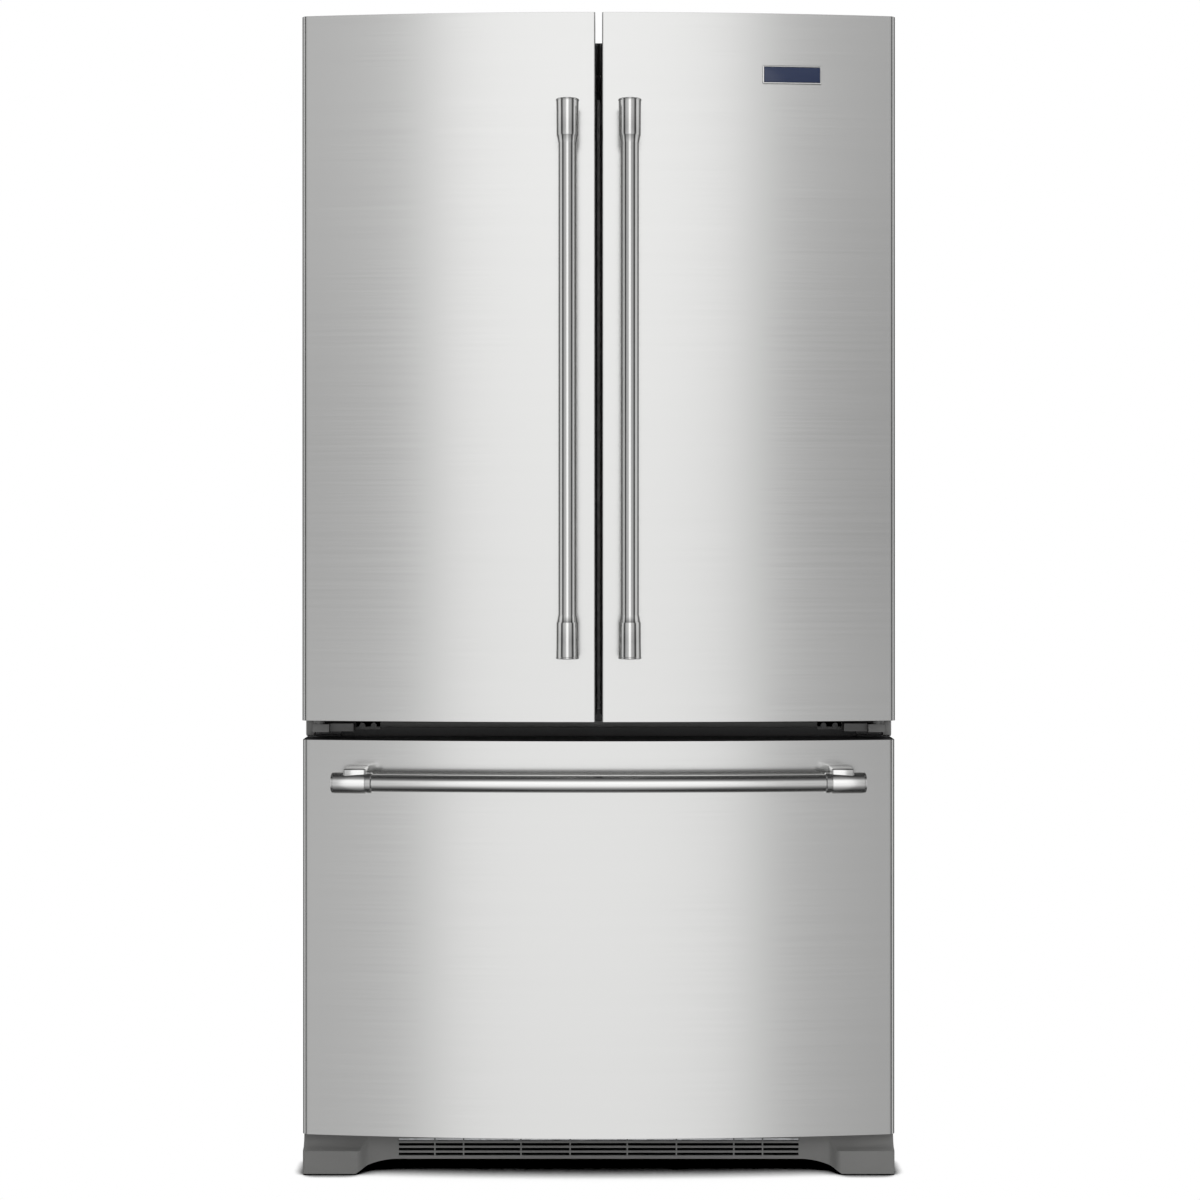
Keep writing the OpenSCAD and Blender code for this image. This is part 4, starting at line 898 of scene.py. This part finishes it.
# ---------------------------------------------------------------- everything that keeps its CAD shape
# CAD node, material, radius of its rounded edges in millimetres, slot
SOFTENED = [
    ("cabinet_shell", "cabinet", 0.5, "cabinet_paint"),
    ("freezer_liner", "liner", 1.2, "liner_white"),
    ("center_rail", "rail", 0.6, "cabinet_paint"),
    ("rear_panel", "zinc", 0.4, "zinc_steel"),
    ("machine_cover", "zinc", 0.3, "zinc_steel"),
    ("base_frame", "zinc", 0.4, "zinc_steel"),
    ("compressor", "enamel", 1.5, "black_enamel"),
    ("water_valve", "liner", 0.6, "liner_white"),
    ("top_hinges", "zinc", 0.6, "zinc_steel"),
    ("hinge_covers", "grille", 0.9, "grille_grey"),
    ("center_hinges", "hinge", 0.8, "hinge_grey"),
    ("air_duct_cover", "liner", 1.0, "liner_white"),
    ("glass_shelves", "glass", 0.8, "shelf_glass"),
    ("shelf_frames", "shelf_trim", 0.8, "shelf_trim"),
    ("evaporator_cover", "liner", 0.6, "liner_white"),
    ("ice_maker", "liner", 1.2, "liner_white"),
    ("slide_outer_rails", "zinc", 0.4, "zinc_steel"),
    ("left_door_liner", "liner", 1.2, "liner_white"),
    ("right_door_liner", "liner", 1.2, "liner_white"),
    ("left_door_gasket", "gasket", 0.8, "gasket_grey"),
    ("right_door_gasket", "gasket", 0.8, "gasket_grey"),
    ("left_door_caps", "trim", 0.8, "trim_black"),
    ("right_door_caps", "trim", 0.8, "trim_black"),
    ("dairy_lid", "clear", 0.6, "clear_bin"),
    ("flipper_mullion", "trim", 1.0, "trim_black"),
    ("drawer_liner", "trim", 0.8, "trim_black"),
    ("drawer_gasket", "gasket", 0.8, "gasket_grey"),
    ("freezer_basket", "liner", 1.0, "liner_white"),
    ("slide_inner_rails", "zinc", 0.4, "zinc_steel"),
    ("slide_middle_rails", "zinc", 0.4, "zinc_steel"),
    ("freezer_tray", "clear", 0.8, "clear_bin"),
    ("left_crisper", "clear", 1.0, "clear_bin"),
    ("right_crisper", "clear", 1.0, "clear_bin"),
    ("deli_drawer", "clear", 1.0, "clear_bin"),
    ("ice_maker_arm", "zinc", 0.3, "zinc_steel"),
    ("condenser_fan", "dark_plastic", 0.5, "wheel_plastic"),
    ("evaporator_fan", "dark_plastic", 0.4, "wheel_plastic"),
    ("front_rollers", "dark_plastic", 0.8, "wheel_plastic"),
    ("rear_rollers", "dark_plastic", 0.8, "wheel_plastic"),
    ("left_levelling_foot", "dark_plastic", 0.8, "black_enamel"),
    ("right_levelling_foot", "dark_plastic", 0.8, "black_enamel"),
    ("temperature_button", "button", 0.8, "button_silver"),
    ("control_panel", "liner", 1.2, "liner_white"),
]
# CAD node and material, where even the edges stay as they are
CARRIED_OVER = {
    "insulation_foam": "foam",
    "left_door_core": "foam",
    "right_door_core": "foam",
    "drawer_core": "foam",
    "condenser_assembly": "enamel",
    "evaporator_assembly": "alloy",
}


def make_softened():
    for node, material, width, slot in SOFTENED:
        softened(node, material, width * MM)
    for node, material in CARRIED_OVER.items():
        carried_over(node, material)


# ---------------------------------------------------------------- stage and light
SHADOW_SAMPLES = 32
CONTACT_SHADOW = 0.3  # metres that the shadow under the base reaches
CONTACT_LINE = 0.03  # metres that the painted dark shadow line at what touches the floor reaches


def make_floor():
    """A white sweep that melts into the background: to the camera it glows white, with a painted contact
    shadow, taken from ambient occlusion, under the base.
    """
    bm = bmesh.new()
    bmesh.ops.create_grid(bm, x_segments=1, y_segments=1, size=20)
    mesh = bpy.data.meshes.new("floor")
    bm.to_mesh(mesh)
    bm.free()
    floor = bpy.data.objects.new("floor", mesh)
    bpy.context.scene.collection.objects.link(floor)
    n = Nodes("floor_paint")
    n.set(Roughness=0.9, Specular_IOR_Level=0.1)
    mottle = n.noise(1.5, 3.0)
    material = n.finish(n.ramp(mottle, 0.90, 0.92))
    shadow = n.add("ShaderNodeAmbientOcclusion", samples=SHADOW_SAMPLES)
    shadow.inputs["Distance"].default_value = CONTACT_SHADOW
    line = n.add("ShaderNodeAmbientOcclusion", samples=SHADOW_SAMPLES)
    line.inputs["Distance"].default_value = CONTACT_LINE
    both = n.add("ShaderNodeMix", data_type="RGBA", blend_type="MULTIPLY")
    both.inputs["Factor"].default_value = 1.0
    n.link(n.ramp(shadow.outputs["AO"], 0.0, 1.0, 0.22, 0.5), both.inputs["A"])
    n.link(n.ramp(line.outputs["AO"], 0.0, 1.0, 0.55, 0.82), both.inputs["B"])
    # the camera sees this glow, darkened by the ambient occlusion: a painted contact shadow
    glow = n.add("ShaderNodeEmission")
    n.link(both.outputs["Result"], glow.inputs["Color"])
    path = n.add("ShaderNodeLightPath")
    seen = n.add("ShaderNodeMixShader")
    n.link(path.outputs["Is Camera Ray"], seen.inputs["Fac"])
    n.link(n.shader.outputs["BSDF"], seen.inputs[1])
    n.link(glow.outputs["Emission"], seen.inputs[2])
    n.link(seen.outputs["Shader"], n.tree.nodes["Material Output"].inputs["Surface"])
    mesh.materials.append(material)
    floor.visible_glossy = False


def area_light(name, location, target, size, power):
    data = bpy.data.lights.new(name, "AREA")
    data.shape = "RECTANGLE"
    data.size, data.size_y = size
    data.energy = power
    light = bpy.data.objects.new(name, data)
    bpy.context.scene.collection.objects.link(light)
    light.location = location
    light.rotation_euler = (Vector(target) - Vector(location)).to_track_quat("-Z", "Y").to_euler()
    light.visible_glossy = False
    light.visible_camera = False


SHINE_STRENGTH = 1.25
FILL_STRENGTH = 0.72


def make_world():
    """A white room: softboxes and dark flags round the front, seen in reflections only."""
    world = bpy.data.worlds.new("studio")
    bpy.context.scene.world = world
    world.use_nodes = True
    tree = world.node_tree
    tree.nodes.clear()

    def add(kind, **settings):
        node = tree.nodes.new(kind)
        for key, value in settings.items():
            setattr(node, key, value)
        return node

    def math(operation, a, b=None):
        node = add("ShaderNodeMath", operation=operation)
        for i, value in enumerate((a, b)):
            if value is None:
                continue
            if isinstance(value, (int, float)):
                node.inputs[i].default_value = value
            else:
                tree.links.new(value, node.inputs[i])
        return node.outputs[0]

    def ramp(value, stops):
        node = add("ShaderNodeValToRGB")
        elements = node.color_ramp.elements
        while len(elements) < len(stops):
            elements.new(0.5)
        for element, (position, level) in zip(elements, stops):
            element.position = position
            element.color = rgba(level)
        tree.links.new(value, node.inputs["Fac"])
        return node.outputs["Color"]

    direction = add("ShaderNodeTexCoord").outputs["Generated"]
    split = add("ShaderNodeSeparateXYZ")
    tree.links.new(direction, split.inputs[0])
    x, y, z = split.outputs
    azimuth = math("ARCTAN2", x, math("MULTIPLY", y, -1.0))
    around = math("ADD", math("DIVIDE", azimuth, 2 * pi), 0.5)
    height = math("ADD", math("DIVIDE", math("ARCSINE", z), pi), 0.5)

    def turn(angle):
        return 0.5 + angle / 360

    def rise(angle):
        return 0.5 + angle / 180

    bands = ramp(around, [
        (turn(-180), 0.10), (turn(-112), 0.12), (turn(-98), 0.62), (turn(-76), 0.62), (turn(-66), 0.05),
        (turn(-54), 0.06), (turn(-46), 0.40), (turn(-30), 0.50), (turn(-22), 0.53), (turn(-14), 0.56),
        (turn(-11), 1.0), (turn(4), 1.0), (turn(10.5), 0.96), (turn(13), 0.52), (turn(18), 0.49),
        (turn(22), 0.44), (turn(30), 0.46), (turn(42), 0.38), (turn(52), 0.06), (turn(64), 0.05),
        (turn(74), 0.62), (turn(96), 0.62), (turn(110), 0.12), (turn(180), 0.10)])
    levels = ramp(height, [
        (rise(-75), 0.10), (rise(-48), 0.35), (rise(-20), 0.84), (rise(-15), 0.86), (rise(-10), 0.90),
        (rise(-4), 0.90), (rise(5), 0.96), (rise(10), 1.0), (rise(30), 1.0), (rise(48), 0.35),
        (rise(75), 0.10)])
    # the side bands are dimmer in the strip that the doors' middle reflects
    dip = ramp(height, [(rise(-4), 0.0), (rise(0.5), 0.44), (rise(5), 0.28), (rise(10), 0.12)])
    dimmed = math("SUBTRACT", 1.0, math("MULTIPLY", dip, math("SUBTRACT", 1.0, bands)))
    mixed = math("MULTIPLY", math("MULTIPLY", bands, dimmed), levels)
    strength = math("MULTIPLY", mixed, SHINE_STRENGTH)

    path = add("ShaderNodeLightPath")
    shine = add("ShaderNodeBackground")
    tree.links.new(strength, shine.inputs["Strength"])
    fill = add("ShaderNodeBackground")
    fill.inputs["Strength"].default_value = FILL_STRENGTH
    white = add("ShaderNodeBackground")
    white.inputs["Strength"].default_value = 1.0
    for node in (shine, fill, white):
        node.inputs["Color"].default_value = (1, 1, 1, 1)
    reflected = add("ShaderNodeMixShader")
    tree.links.new(path.outputs["Is Glossy Ray"], reflected.inputs["Fac"])
    tree.links.new(fill.outputs[0], reflected.inputs[1])
    tree.links.new(shine.outputs[0], reflected.inputs[2])
    seen = add("ShaderNodeMixShader")
    tree.links.new(path.outputs["Is Camera Ray"], seen.inputs["Fac"])
    tree.links.new(reflected.outputs[0], seen.inputs[1])
    tree.links.new(white.outputs[0], seen.inputs[2])
    output = add("ShaderNodeOutputWorld")
    tree.links.new(seen.outputs[0], output.inputs["Surface"])


def make_light():
    make_world()
    area_light("key", (1.6, -4.2, 3.2), (0, 0, 0.9), (2.4, 2.4), 70)
    area_light("top", (0, -0.6, 4.6), (0, 0, 0), (4.0, 4.0), 60)
    scene = bpy.context.scene
    scene.view_settings.view_transform = "Standard"
    scene.view_settings.look = "None"


make_camera()
make_skins()
make_door_handle("left")
make_door_handle("right")
make_drawer_handle()
make_badge()
make_fridge_liner()
make_hinge_ears()
make_rail_front_painted_light()
make_slit_strips()
make_base_grille()
make_door_bins("left", LEFT_OPEN_BINS)
make_door_bins("right", RIGHT_OPEN_BINS)
make_dairy_box(RIGHT_OPEN_BINS)
make_softened()
make_floor()
make_light()
